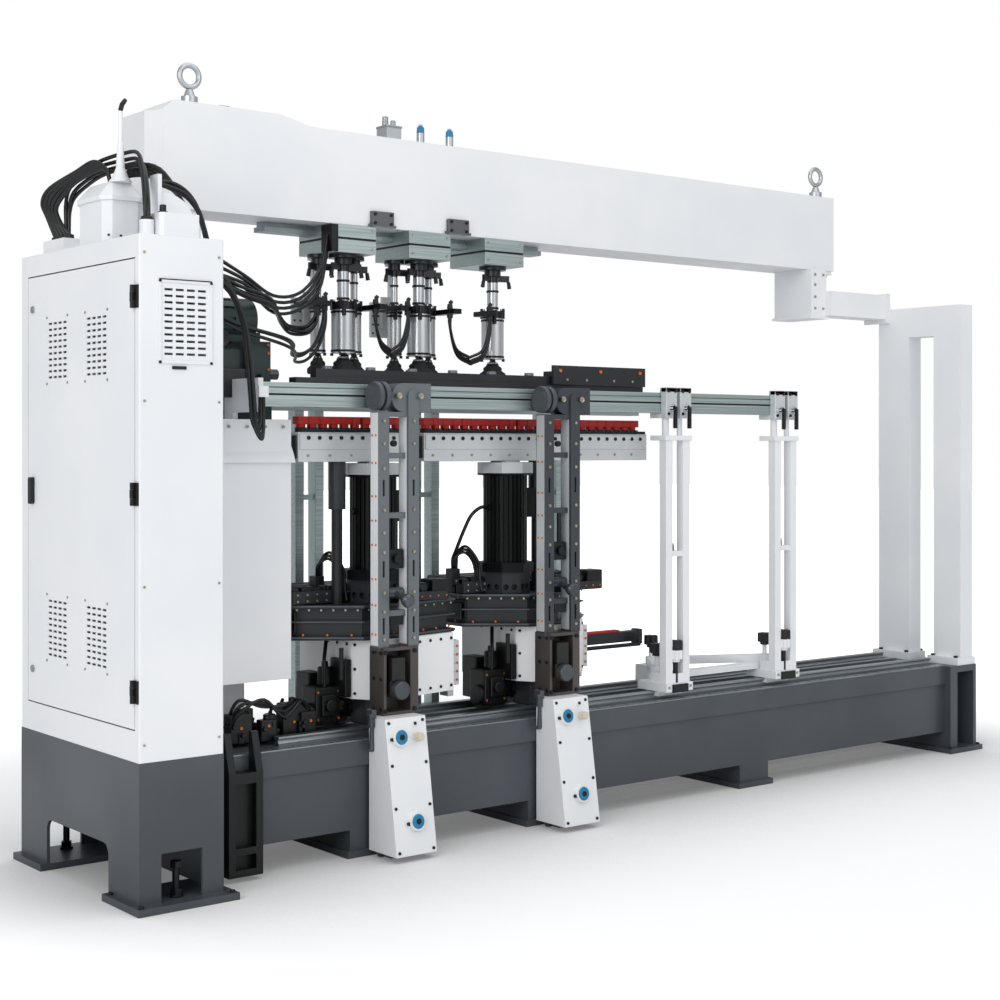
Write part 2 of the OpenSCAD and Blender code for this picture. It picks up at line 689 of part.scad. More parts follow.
// Rear rail with the two stands that carry it.
module rear_rail() color(STEEL) framed() {
    along_x(column_x0 + column_w, rear_rail_x1 - column_x0 - column_w)
        translate([rear_rail_y0, rail_z0]) rail_profile();
    for (x = stand_xs) {
        for (dx = [-stand_w / 2, stand_w / 2 - 26])
            block([x + dx, rear_rail_y0 + 4, bed_z1 - 20], [x + dx + 26, rear_rail_y1 - 4, rail_z0]);
        for (z = [560, 860])
            block([x - stand_w / 2, rear_rail_y0 + 10, z], [x + stand_w / 2, rear_rail_y1 - 10, z + 14]);
        block([x - stand_w / 2 - 12, rear_rail_y0 - 20, bed_z1 - 20], [x + stand_w / 2 + 12, rear_rail_y1, bed_z1 - 6]);
    }
}

// Side fence on the front rail: a long guide bar and the stop block beside it.
fence_x0 = 500;
fence_x1 = 1640;
stop_x0 = 1302;
module side_fence() color(SLATE) framed() {
    block([fence_x0, rail_y0 + 6, rail_top], [fence_x1, rail_y0 + 39, rail_top + 14]);
    block([fence_x0 + 60, rail_y0 + 12, rail_top + 14], [fence_x1 - 80, rail_y0 + 39, rail_top + 36]);
    block([fence_x1 - 66, rail_y0 + 12, rail_top + 14], [fence_x1 - 10, rail_y0 + 39, rail_top + 24]);
    difference() {
        block([stop_x0, rail_y0 - 4, rail_top + 14], [fence_x1, rail_y0 + 5, rail_top + 66]);
        for (x = [stop_x0 + 23, stop_x0 + 168, fence_x1 - 22]) bar_y(x, rail_y0 - 5, rail_top + 52, 12, 4);
    }
    block([stop_x0, rail_y0 + 5, rail_top + 36], [fence_x1, rail_y0 + 39, rail_top + 50]);
}

// Housing of the side boring unit: a box with a curved hood lip, and the bracket of the front rail.
module side_housing() color(WHITE) framed() {
    block([side_x0, side_y0, side_foot_z], [side_x0 + side_w, side_y0 + side_d - 4, side_z1]);
    along_x(side_x0 - 6, side_w + 12) intersection() {
        translate([side_y0 + hood_r - 18, side_z1 - hood_r]) circle(hood_r);
        translate([side_y0 - 20, side_z1 - hood_h]) square([side_d + 20, hood_h]);
    }
    block([side_x0 + 20, rear_y0 + 20, bed_z1], [side_x0 + 120, side_y0 + side_d - 10, side_foot_z]);
    block([rail_x0 - 14, rail_y0 - 30, rail_z0 - 14], [rail_x0, side_y0 + 60, rail_top + 8]);
    block([rail_x0 - 14, side_y0 + 20, side_z1 - eps], [rail_x0, side_y0 + 60, rail_z0]);
    block([rail_x0 - 22, rail_y0 - 48, plug_z], [rail_x0 + 4, rail_y0 - 30, plug_z + 26]);
}
plug_z = rail_z0 + 20;
side_foot_z = 435;
hood_r = 150;
hood_h = 105;

// Side boring unit: saddle, gearbox with its spindle noses, finned motor and plug socket.
module side_unit() color("#3d4144") framed() {
    block([side_x0 + 60, side_y0 + 75, side_z1 + slide_gap], [side_x0 + 180, side_y0 + 190, side_z1 + 40]);
    difference() {
        block([side_x0 + 85, side_y0 + 30, side_z1 + 40], [side_x0 + 150, side_y0 + 190, side_z1 + 190]);
        bar_x(side_x0 + 100, side_spindle_y, side_spindle_z, 60, side_shaft_r + pin_fit);
    }
    for (i = [1 : 3]) bar_x(side_x0 + 150, side_spindle_y + 32 * i, side_spindle_z, 26, 12);
    difference() {
        bar_x(side_x0 - 55, side_y0 + 120, side_z1 + 245, 190, 55);
        for (i = [0 : 11]) translate([side_x0 - 56, side_y0 + 120, side_z1 + 245]) rotate([30 * i, 0, 0])
            translate([0, 50, -4]) cube([130, 20, 8]);
    }
    block([side_x0 + 60, side_y0 + 80, side_z1 + 190], [side_x0 + 150, side_y0 + 160, side_z1 + 215]);
    block([side_x0 + 20, side_y0 + 50, side_z1 + 120], [side_x0 + 85, side_y0 + 80, side_z1 + 170]);
}
side_shaft_r = 8;
side_spindle_y = side_y0 + 60;
side_spindle_z = side_z1 + 112;

module side_spindle() color("#c8201c") framed() {
    bar_x(side_x0 + 102, side_spindle_y, side_spindle_z, 60, side_shaft_r);
    bar_x(side_x0 + 150 + slide_gap, side_spindle_y, side_spindle_z, 34, 13);
}

// Plan of a carriage box, from the middle of its tower, with the narrow end at the tower. Its right corner
// is given as [reach to the right, setback].
function box_plan(x, corner) = [[x - 24, box_y0], [x + 60, box_y0], [x + corner[0], box_y0 + corner[1]],
    [x + corner[0], box_y1], [x - 62, box_y1], [x - 62, box_y0 + 66]];
// Plan of the swivel base, which reaches past the box on its left.
function swivel_plan(x, corner) = [[x - 58, box_y0 + 14], [x + 62, box_y0 + 14],
    [x + corner[0] + 14, box_y0 + corner[1] + 16], [x + corner[0] + 14, box_y1], [x - 200, box_y1],
    [x - 200, box_y0 + 126]];
corner_1 = [236, 34];
corner_2 = [216, 110];

// Carriage: a tapered box with bolted side plates on four legs that run on the guide rails.
module carriage(x, corner) color(WHITE) framed() {
    translate([0, 0, box_z0]) linear_extrude(box_z1 - box_z0) polygon(box_plan(x, corner));
    translate([x + corner[0], box_y0 + corner[1] + 16, box_z0 + 14]) cube([24, 90, box_z1 - box_z0 - 40]);
    difference() {
        for (leg = carriage_legs)
            block([x + leg[0], leg[1] - 27, bed_z1 + 9], [x + leg[0] + 70, leg[1] + 27, box_z0]);
        for (y = [front_guide_y, rear_guide_y])
            along_x(x - 200, 500) translate([y, bed_z1]) polygon(guide_points(slide_gap));
    }
}
carriage_legs = [[-20, front_guide_y], [-58, rear_guide_y], [150, rear_guide_y]];
module carriage_1() carriage(tower_x1, corner_1);
module carriage_2() carriage(tower_x2, corner_2);

// Swivel base: a channel section bent round the box's plan, with the spigot and the guide post of its head.
module swivel_base(x, motor, post, corner) color("#2b2e33") framed() {
    translate([0, 0, box_z1]) linear_extrude(8) polygon(swivel_plan(x, corner));
    translate([0, 0, box_z1 + 8]) linear_extrude(swivel_z1 - box_z1 - 16) polygon(inset(swivel_plan(x, corner), 16));
    translate([0, 0, swivel_z1 - 8]) linear_extrude(8) polygon(swivel_plan(x, corner));
    for (y = [box_y1 - 96, box_y1 - 44]) along_x(x - 190, corner[0] + 194) translate([y, swivel_z1 - 1]) round_rect(36, 44, 12);
    bar_z(post, row_y, swivel_z1 - 1, guide_top - swivel_z1 + 1, guide_r);
    bar_z(motor, row_y, swivel_z1 - 1, spigot_h + 1, spigot_r);
    block([motor - 138, 346, swivel_z1 - 1], [motor - 112, 376, swivel_z1 + 66]);
}
post_side = 110;
post_x1 = motor_x1 - post_side;
post_x2 = motor_x2 + post_side;
spigot_r = 40;
spigot_h = 90;
sleeve_h = 120;
post_play = 30;
guide_top = gear_z0 - slide_gap;
module swivel_base_1() swivel_base(tower_x1, motor_x1, post_x1, corner_1);
module swivel_base_2() swivel_base(tower_x2, motor_x2, post_x2, corner_2);

// Tower: slotted uprights with ties and rounded heads, the link block at the rail and the bracket below.
module tower(x) color(GREY) framed() difference() {
    union() {
        for (dx = [-tower_w / 2, tower_w / 2 - upright_w])
            block([x + dx, tower_y0, bracket_z1], [x + dx + upright_w, tower_y0 + upright_d, upright_z1]);
        along_y(tower_y0 - 6, 6) translate([x + tower_w / 2 - upright_w / 2, 0]) {
            translate([-upright_w / 2, bracket_z1]) square([upright_w, rail_top - bracket_z1 - 28]);
            translate([0, rail_top - 28]) circle(upright_w / 2);
        }
        for (z = tie_zs) block([x - tower_w / 2 + upright_w, tower_y0 + 6, z - 7],
            [x + tower_w / 2 - upright_w, tower_y0 + upright_d - 6, z + 7]);
        along_y(tower_y0, rail_y0 - slide_gap - tower_y0) translate([x - 19, upright_z1]) {
            translate([link_r, 0]) square([83, 2 * link_r]);
            translate([link_r, link_r]) circle(link_r);
        }
        block([x - tower_w / 2, tower_y0, upright_z1 - 12], [x + tower_w / 2, tower_y0 + upright_d, upright_z1]);
        for (dx = [-5, 60]) bar_y(x + dx, tower_y0 - 12, rail_top - 28, 14, 7);
        block([x - 52, tower_y0 - 10, console_z1], [x + 54, box_y0, console_z1 + 8]);
        block([x - 50, tower_y0 - 10, bracket_z1 - 8], [x + 54, box_y0, bracket_z1]);
        block([x - tower_w / 2, tower_y0, bracket_z1 - 8], [x + tower_w / 2, tower_y0 + upright_d, bracket_z1]);
        block([x - 50, tower_y0 - 10, console_z1], [x - 42, box_y0, bracket_z1]);
        block([x + 30, tower_y0 - 10, console_z1], [x + 54, box_y0, bracket_z1]);
        block([x - 50, box_y0 - 8, console_z1], [x + 54, box_y0, bracket_z1]);
        block([x - 30, tower_y0 + 10, console_z1 + 60], [x + 8, box_y0 - 8, console_z1 + 140]);
        bar_y(x - 10, tower_y0 - 20, console_z1 + 62, 50, 23);
    }
    for (dx = [-tower_w / 2, tower_w / 2 - upright_w], z = slot_zs)
        block([x + dx + upright_w / 2 - 3, tower_y0 - 10, z - 20],
            [x + dx + upright_w / 2 + 3, tower_y0 + upright_d + eps, z + 20]);
    bar_x(x - tower_w / 2 + 12, lever_y, lever_z, tower_w, lever_pin_r + pin_fit);
    bar_x(x - 30, wheel_y, wheel_z, 40, wheel_pin_r + pin_fit);
}
bracket_z1 = 507;
upright_z1 = rail_z0 - 10;
link_r = (rail_h + 14) / 2;
tie_zs = [590, 832, 980];
slot_zs = [560, 700, 900];
lever_y = tower_y0 + upright_d / 2;
lever_z = 640;
lever_pin_r = 6;
module tower_1() tower(tower_x1);
module tower_2() tower(tower_x2);

// Two clamp wheels on a common spindle at the left end of the link block.
module clamp_wheels(x) color(BLACK) framed() {
    for (dx = [0, 20]) translate([x - tower_w / 2 - 8 + dx, wheel_y, wheel_z]) rotate([0, 90, 0])
        rotate_extrude() polygon([[0, -1], [wheel_r - 10, -1], [wheel_r - 8, 0], [wheel_r - 2, 0], [wheel_r, 3],
            [wheel_r, 11], [wheel_r - 2, 14], [wheel_r - 10, 14], [wheel_r - 14, 10], [16, 10], [12, 19.5], [0, 19.5]]);
    bar_x(x - tower_w / 2 + 30, wheel_y, wheel_z, 36, wheel_pin_r);
}
wheel_pin_r = 8;
wheel_y = rail_y0 - slide_gap - wheel_r - 1;
wheel_z = rail_z0 + rail_h / 2;
module clamp_wheels_1() clamp_wheels(tower_x1);
module clamp_wheels_2() clamp_wheels(tower_x2);

// Height lever between the uprights: a bell-shaped grip on a pin across the tower.
module tower_lever(x) color(GREY) framed() {
    bar_x(x - tower_w / 2 + 12, lever_y, lever_z, tower_w - 24, lever_pin_r);
    bar_x(x - 22, lever_y, lever_z, 44, 13);
    translate([x, lever_y, lever_z]) rotate([105, 0, 0]) rotate_extrude()
        polygon([[0, 0], [8, 0], [7, 30], [10, 44], [16, 54], [18, 64], [14, 72], [0, 74]]);
}
module tower_lever_1() tower_lever(tower_x1);
module tower_lever_2() tower_lever(tower_x2);

// Console: a lectern box with a sloping front, two position counters and a knob.
module console(x) color(WHITE) framed() {
    along_x(x - console_w / 2, console_w) polygon([[console_y1, console_z0], [console_y1 - console_d, console_z0],
        [console_y1 - console_top_d, console_z1], [console_y1, console_z1]]);
    for (k = [[-0.18, 0.86], [0.05, 0.24]])
        on_console(x, k) cylinder(9, 22, 19);
    on_console(x, [0.22, 0.85]) cylinder(24, 8, 10);
    on_console(x, [0.20, 0.95]) cylinder(6, 7, 7);
}
// Places its child on the console's sloping front, at a share of its width and of its height.
module on_console(x, k) {
    lean = atan2(console_d - console_top_d, console_z1 - console_z0);
    translate([x + k[0] * console_w, console_y1 - console_d + k[1] * (console_d - console_top_d),
        console_z0 + k[1] * (console_z1 - console_z0)]) rotate([90 - lean, 0, 0]) translate([0, 0, -1]) children();
}
console_y1 = bed_y0 - 2;
console_shift = -20;
module console_1() console(tower_x1 + console_shift);
module console_2() console(tower_x2 + console_shift);

function gear_len(n) = n * pitch + gear_margin;
function spindle_x(x0, i) = x0 + gear_margin / 2 + pitch * (i + 0.5);

// Gearbox: a long casting with a strip of cap screws, end covers and a guide sleeve below.
module gearbox(x0, n, post, driver) color("#9fa5a7") framed() difference() {
    union() {
        block([x0, row_y - gear_d / 2 + 3, gear_z0], [x0 + gear_len(n), row_y + gear_d / 2 - 3, gear_z1]);
        block([x0 + 4, row_y - gear_d / 2, gear_z0 + gear_h * 0.42],
            [x0 + gear_len(n) - 4, row_y + gear_d / 2, gear_z1 - 4]);
        bar_z(post, row_y, gear_z0 - sleeve_h, sleeve_h + eps, guide_r + 8);
    }
    for (i = [0 : n - 1]) {
        bar_y(spindle_x(x0, i), row_y - gear_d / 2 - eps, gear_z1 - 14, 4, 4);
        bar_z(spindle_x(x0, i), row_y, gear_z1 - 26, 27, (i == driver) ? shaft_r + pin_fit : shaft_r);
    }
    bar_z(post, row_y, gear_z0 - sleeve_h - eps, sleeve_h + eps + post_play, guide_r + pin_fit);
}
shaft_r = 7;
driver_1 = 5;
driver_2 = 9;
module gearbox_1() gearbox(gear_x1, spindles_1, post_x1, driver_1);
module gearbox_2() gearbox(gear_x2, spindles_2, post_x2, driver_2);

// Motor: octagonal flanges, a finned body, the terminal box and the octagonal foot with its windows.
module motor(x) color(BLACK) framed() translate([x, row_y, 0]) difference() {
    motor_solids();
    bar_z(0, 0, base_z0 - eps, swivel_z1 + spigot_h + slide_gap - base_z0 + eps, spigot_r + pin_fit);
}
module motor_solids() {
    difference() {
        translate([0, 0, motor_z0]) cylinder(motor_h, motor_r, motor_r);
        for (i = [0 : motor_fins - 1]) rotate(i * 360 / motor_fins)
            translate([motor_r - 7, -2, motor_z0 - eps]) cube([10, 4, motor_h + 2 * eps]);
    }
    translate([0, 0, motor_z0 + motor_h]) cylinder(flange_t + 5, motor_r + 16, motor_r + 16, $fn = 8);
    translate([0, 0, motor_z0 + motor_h + flange_t]) cylinder(gear_z0 - motor_z0 - motor_h - flange_t, 40, 40);
    translate([0, 0, motor_z0 - 26]) cylinder(26, motor_r + 18, motor_r + 18, $fn = 8);
    difference() {
        translate([0, 0, base_z0]) cylinder(motor_z0 - 26 - base_z0, motor_r + 8, motor_r + 8, $fn = 8);
        for (a = [0 : 45 : 315], y = [-16, 8]) rotate(a + 22.5) translate([motor_r - 12, y, base_z0 + 18])
            rotate([0, 90, 0]) cylinder(30, 8, 8, $fn = 20);
    }
    block([motor_r - 8, -30, motor_z0 + 120], [motor_r + 20, 30, motor_z0 + 200]);
    bar_x(-motor_r - 6, 0, gland_z, 10, 9);
}
gland_z = 838;
module motor_1() motor(motor_x1);
module motor_2() motor(motor_x2);

// A drill chuck with its collar, seated in the gearbox.
module chuck(x) translate([x, row_y, 0]) {
    bar_z(0, 0, gear_z1 - 25, 26, shaft_r);
    bar_z(0, 0, gear_z1 + 0.1, 12, chuck_r + 3);
    bar_z(0, 0, gear_z1 + 12, chuck_h - 12, chuck_r);
    translate([0, 0, gear_z1 + chuck_h]) cylinder(7, 5, 3);
}
module chucks(x0, n, driver) color("#c8201c") framed()
    for (i = [0 : n - 1]) if (i != driver) chuck(spindle_x(x0, i));
module chucks_1() chucks(gear_x1, spindles_1, driver_1);
module chucks_2() chucks(gear_x2, spindles_2, driver_2);
module spindle_1() color("#c8201c") framed() chuck(spindle_x(gear_x1, driver_1));
module spindle_2() color("#c8201c") framed() chuck(spindle_x(gear_x2, driver_2));

// Profile block of a hold-down group, hung on the T-rail under the beam.
module press_block(x) color(STEEL) framed() difference() {
    block([x - press_w / 2, beam_y0 - 6, press_z0], [x + press_w / 2, beam_y1 - 4, beam_z0 - slide_gap]);
    block([x - press_w, trail_y - trail_neck / 2 - slide_gap, beam_z0 - trail_h - slide_gap],
        [x + press_w, trail_y + trail_neck / 2 + slide_gap, beam_z0 + eps]);
    block([x - press_w, trail_y - trail_head / 2 - slide_gap, beam_z0 - trail_h - slide_gap],
        [x + press_w, trail_y + trail_head / 2 + slide_gap, beam_z0 - trail_h / 2 + slide_gap]);
    block([x - press_w, beam_y0 - 6 - eps, press_z0 + press_h / 2 - 3],
        [x + press_w, beam_y0 - 6 + groove_d, press_z0 + press_h / 2 + 3]);
    for (side = [-1, 1]) block([x + side * press_w / 2 - groove_d, beam_y0 - 7, press_z0 + press_h / 2 - 3],
        [x + side * press_w / 2 + groove_d, beam_y1, press_z0 + press_h / 2 + 3]);
}
module press_block_a() press_block(press_x[0]);
module press_block_b() press_block(press_x[1]);
module press_block_c() press_block(press_x[2]);

// A cylinder: mounting flange with levers, neck tube, collar and barrel, bored for its rod.
module press_cylinder(x, y, r) translate([x, y, 0]) difference() {
    union() {
        bar_z(0, 0, press_z0 - 10, 10, r * 0.9 + 10);
        bar_z(0, 0, press_z0 - 27, 17, r * 0.55 + 6);
        for (a = [200, 340]) rotate(a) translate([r * 0.55, -4, press_z0 - 42]) cube([r * 0.5 + 16, 8, 18]);
        bar_z(0, 0, barrel_z0 + barrel_h, press_z0 - barrel_z0 - barrel_h - 20, r * 0.48);
        bar_z(0, 0, barrel_z0 + barrel_h, 21, r * 0.9 + 3);
        bar_z(0, 0, barrel_z0, barrel_h, r);
        for (a = [0 : 90 : 270]) rotate(a + 45) bar_z(r * 0.8, 0, barrel_z0 + barrel_h + 20, 8, 4);
    }
    bar_z(0, 0, barrel_z0 - eps, barrel_h - 10, rod_r + pin_fit);
}

// An arm from a collar to the port that a hose comes out of.
module hose_port(x, y, side, ports = 1) {
    block([min(x, x + side * port_reach), y - 8, port_z], [max(x, x + side * port_reach), y + 8, port_z + 14]);
    for (i = [0 : ports - 1]) block([x + side * (port_reach + i * port_pitch) - 13, port_y - 13, port_z],
        [x + side * (port_reach + i * port_pitch) + 13, y + 8, port_z + 14]);
}
port_pitch = 25;
port_reach = 72 - small_dx + 18;
port_y = beam_y0;
port_z = barrel_z0 + barrel_h + 3;

module press_cylinders_a() color("#b9bcbe") framed() three_cylinders(press_x[0], 2);
module press_cylinders_b() color("#b9bcbe") framed() three_cylinders(press_x[1]);
module press_cylinders_c() color("#b9bcbe") framed() {
    press_cylinder(press_x[2], main_cyl_y, big_r);
    hose_port(press_x[2] - 18, main_cyl_y, -1);
}
module three_cylinders(x, left_ports = 1) {
    press_cylinder(x, main_cyl_y, big_r);
    for (side = [-1, 1]) {
        press_cylinder(x + side * small_dx, small_cyl_y, small_r);
        hose_port(x + side * small_dx, small_cyl_y, side, (side < 0) ? left_ports : 1);
    }
}

// Press rod with its nut and moulded rubber foot.
module press_foot(x, y, r) color(BLACK) framed() translate([x, y, 0]) {
    bar_z(0, 0, rubber_top - 4, barrel_z0 - rubber_top + 4 + press_stroke + 45, rod_r);
    translate([0, 0, rubber_top]) cylinder(7, rod_r * 1.6, rod_r * 1.6, $fn = 6);
    translate([0, 0, rubber_z0]) rotate_extrude() polygon([[0, 0], [r - 3, 0], [r, 4], [r, 10], [r - 5, 14],
        [r * 0.72, 20], [r * 0.55, 30], [r * 0.45, rubber_h - 4], [r * 0.3, rubber_h], [0, rubber_h]]);
}
module press_foot_a1() press_foot(press_x[0], main_cyl_y, big_foot_r);
module press_foot_a2() press_foot(press_x[0] - small_dx, small_cyl_y, small_foot_r);
module press_foot_a3() press_foot(press_x[0] + small_dx, small_cyl_y, small_foot_r);
module press_foot_b1() press_foot(press_x[1], main_cyl_y, big_foot_r);
module press_foot_b2() press_foot(press_x[1] - small_dx, small_cyl_y, small_foot_r);
module press_foot_b3() press_foot(press_x[1] + small_dx, small_cyl_y, small_foot_r);
module press_foot_c1() press_foot(press_x[2], main_cyl_y, big_foot_r);

// A support post: base shoe on the front guide rail, twin tubes, tie, head plate, clamp and star knob.
module support_post(x) {
    difference() {
        union() {
            block([x - support_w / 2 - 5, bed_y0 + 6, guide_z1 + 2], [x + support_w / 2 + 5, bed_y1 - 4, guide_z1 + 26]);
            block([x - support_w / 2, front_guide_y - 24, bed_z1 + 9], [x + support_w / 2, front_guide_y + 24, guide_z1 + 8]);
            block([x - support_w / 2, support_y0, guide_z1 + 26], [x + support_w / 2, support_y0 + 60, guide_z1 + 52]);
        }
        along_x(x - support_w, 2 * support_w) translate([front_guide_y, bed_z1]) polygon(guide_points(slide_gap));
    }
    for (dx = [-support_w / 2, support_w / 2 - tube_w])
        block([x + dx, support_y0, guide_z1 + 52], [x + dx + tube_w, support_y0 + tube_w, support_z1 - 14]);
    block([x - support_w / 2 - 6, support_y0 - 4, support_z1 - 14], [x + support_w / 2 + 6, support_y0 + 58, support_z1]);
    block([x - support_w / 2 + tube_w, support_y0 + 2, tie_z], [x + support_w / 2 - tube_w, support_y0 + tube_w, tie_z + 16]);
    bar_z(x - 8, support_y0 + 18, tie_z + 16, 20, 7);
    bar_z(x - 22, rail_y0 + 4, support_z1 - 1, rail_z0 - 12 - support_z1, 10);
    bar_z(x + 34, rail_y0 + 4, support_z1 - 1, rail_z0 - 12 - support_z1, 8);
    clamp_jaw(x - 22);
    clamp_jaw(x + 34);
    bar_z(x - 4, bed_y0 + 20, guide_z1 + 26, 60, 7);
    translate([x - 4, bed_y0 + 20, guide_z1 + 85]) star_knob();
}
support_y0 = rail_y0 - 24;
tie_z = 690;

// A jaw that grips the front rail from below and from the front.
module clamp_jaw(x) {
    block([x - 21, rail_y0 - 22, rail_z0 - 14], [x + 21, rail_y0 + rail_d, rail_z0 - slide_gap]);
    block([x - 21, rail_y0 - 22, rail_z0 - 14], [x + 21, rail_y0 - slide_gap, rail_top + 14]);
    block([x - 21, rail_y0 - 22, rail_top + slide_gap], [x + 21, rail_y0 + 4, rail_top + 14]);
    bar_y(x, rail_y0 - 34, rail_z0 + 14, 14, 8);
    block([x - 4, rail_y0 - 40, rail_z0 - 42], [x + 4, rail_y0 - 30, rail_z0 + 16]);
}

// A star knob on its steel stem.
module star_knob() {
    cylinder(12, 13, 13);
    translate([0, 0, 8]) linear_extrude(26) {
        circle(16);
        for (a = [0 : 60 : 300]) rotate(a) translate([15, 0]) circle(6);
    }
}

module support_posts() color(WHITE) framed() {
    support_post(support_x1);
    support_post(support_x2);
}

// Arms that tie the posts to each other and to a shoe on the rear guide rail.
module link_arms() color(STEEL) framed() {
    translate([0, 0, link_z]) linear_extrude(18)
        arm_outline([[support_x1, link_y], [support_x2, link_y]], 34, 21);
    translate([0, 0, link_z + 16]) linear_extrude(24)
        arm_outline([[support_x1, link_y], [shoe_x, rear_guide_y], [support_x2, link_y]], 26, 17);
    difference() {
        block([shoe_x - 40, rear_guide_y - 26, bed_z1 + 9], [shoe_x + 40, rear_guide_y + 26, link_z + 18]);
        along_x(shoe_x - 50, 100) translate([rear_guide_y, bed_z1]) polygon(guide_points(slide_gap));
    }
    for (p = [[support_x1, link_y], [support_x2, link_y], [shoe_x, rear_guide_y]])
        translate([p[0], p[1], link_z + 38]) {
            cylinder(32, 7, 7);
            translate([0, 0, 31]) star_knob();
        }
}
link_y = bed_y1 - 30;
link_z = guide_z1 + 26;
shoe_x = 1880;

// The outline of flat arms of width w along the given pivots, with a boss of radius r at each pivot.
module arm_outline(pivots, w, r) {
    for (i = [1 : len(pivots) - 1]) {
        d = pivots[i] - pivots[i - 1];
        translate(pivots[i - 1]) rotate(atan2(d[1], d[0])) translate([0, -w / 2]) square([norm(d), w]);
    }
    for (p = pivots) translate(p) circle(r);
}

// A hose swept along its points with eight sides. The reference direction is never along it.
function tangent(q, i) = unit2(q[min(i + 1, len(q) - 1)] - q[max(i - 1, 0)]);
function hose_ring(q, i, r, m, ref) =
    let (t = tangent(q, i), u = unit2(cross(ref, t)), v = cross(t, u))
    [for (j = [0 : m - 1]) q[i] + r * (cos(360 * j / m) * u + sin(360 * j / m) * v)];
module hose(q, r, ref) {
    m = 8;
    n = len(q);
    polyhedron([for (i = [0 : n - 1]) each hose_ring(q, i, r, m, ref)],
        concat([for (j = [1 : m - 2]) [0, j, j + 1]],
            [for (i = [0 : n - 2], j = [0 : m - 1]) [i * m + j, (i + 1) * m + (j + 1) % m, i * m + (j + 1) % m]],
            [for (i = [0 : n - 2], j = [0 : m - 1]) [i * m + j, (i + 1) * m + j, (i + 1) * m + (j + 1) % m]],
            [for (j = [1 : m - 2]) [(n - 1) * m, (n - 1) * m + j + 1, (n - 1) * m + j]]));
}

// Hose bundle over the cover, from the plug housing at the back to the one at the front.
over_cover = [[46, 466, 1494.3], [46, 466, 1530], [46, 464, 1574], [46, 440, 1608], [50, 370, 1632],
    [58, 300, 1644], [86, 236, 1652], [90, 180, 1646], [80, 136, 1612], [66, 98, 1556], [62, 88, 1520],
    [62, 88, 1502.3]];
module cabinet_hoses() color(BLACK) framed() hose(over_cover, 13, [1, 0.1, 0.1]);

// Feed hoses: from the outlet plate over the saddle, and from the cabinet's right side, to the two
// ports of the left hold-down group.
feed_high = [[108.3, 126, 1590], [136, 126, 1590], [176, 125, 1576], [206, 124, 1544], [226, 126, 1490],
    [250, 140, 1430], [300, 180, 1390], [380, 214, 1366], [480, 256, 1350], [576, 380, 1328],
    [640, 440, 1308], [700, 456, 1308], [728, 456, 1330], [734, 456, 1350], [734, 456, 1371.7]];
feed_low = [[205.3, 230, 1340], [236, 230, 1340], [300, 228, 1316], [380, 230, 1288], [500, 240, 1264],
    [566, 296, 1250], [628, 400, 1234], [690, 448, 1236], [730, 456, 1262], [750, 456, 1300],
    [759, 456, 1340], [759, 456, 1371.7]];
module feed_hoses() color(BLACK) framed() {
    hose(feed_high, 11, [0, 1, 0.2]);
    hose(feed_low, 11, [0, 1, 0.2]);
}

// Loops between the ports of neighbouring hold-down groups.
loop_ab = [[921, 456, 1371.7], [921, 456, 1336], [938, 456, 1282], [973, 456, 1256], [1008, 456, 1282],
    [1026, 456, 1336], [1026, 456, 1371.7]];
loop_bc = [[1170, 456, 1371.7], [1170, 456, 1336], [1192, 456, 1270], [1240, 456, 1246], [1288, 456, 1270],
    [1309, 456, 1336], [1309, 456, 1371.7]];
module press_hoses() color(BLACK) framed() {
    hose(loop_ab, 12, [0, 1, 0]);
    hose(loop_bc, 12, [0, 1, 0]);
}

// Hose of the side unit: out of the cabinet, down in front of the rail's end and up into its socket.
side_loop = [[205.3, 130, 1400], [236, 130, 1400], [286, 128, 1374], [322, 122, 1300], [334, 116, 1210],
    [340, 112, 1120], [346, 112, 1060], [362, 114, 1032], [374, 124, 1040], [379, 131, 1086], [379, 131, 1117.7]];
module side_hose() color(BLACK) framed() hose(side_loop, 9, [0, 1, 0.2]);

// Cable of the right motor, from its gland down to the plug on the swivel base.
motor_loop = [[1167.7, 290, 838], [1148, 290, 838], [1124, 300, 816], [1112, 320, 770], [1108, 344, 724],
    [1109, 361, 698], [1109, 361, 672.3]];
module motor_cable() color(BLACK) framed() hose(motor_loop, 5, [0, 1, 0.2]);

pedestal();
levelling_bolts();
cabinet_shell();
door_hinges();
cable_cover();
cabinet_door();
door_handle();
main_beam();
beam_fittings();
bed_frame();
bed_rails();
chain_bracket();
portal_frame();
beam_arm();
front_rail();
rear_rail();
side_fence();
side_housing();
side_unit();
side_spindle();
carriage_1();
swivel_base_1();
tower_1();
clamp_wheels_1();
tower_lever_1();
console_1();
gearbox_1();
motor_1();
chucks_1();
spindle_1();
carriage_2();
swivel_base_2();
tower_2();
clamp_wheels_2();
tower_lever_2();
console_2();
gearbox_2();
motor_2();
chucks_2();
spindle_2();
press_block_a();
press_block_b();
press_block_c();
press_cylinders_a();
press_cylinders_b();
press_cylinders_c();
press_foot_a1();
press_foot_a2();
press_foot_a3();
press_foot_b1();
press_foot_b2();
press_foot_b3();
press_foot_c1();
support_posts();
link_arms();
cabinet_hoses();
feed_hoses();
press_hoses();
side_hose();
motor_cable();
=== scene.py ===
import math

import bmesh
import bpy
from mathutils import Matrix, Vector


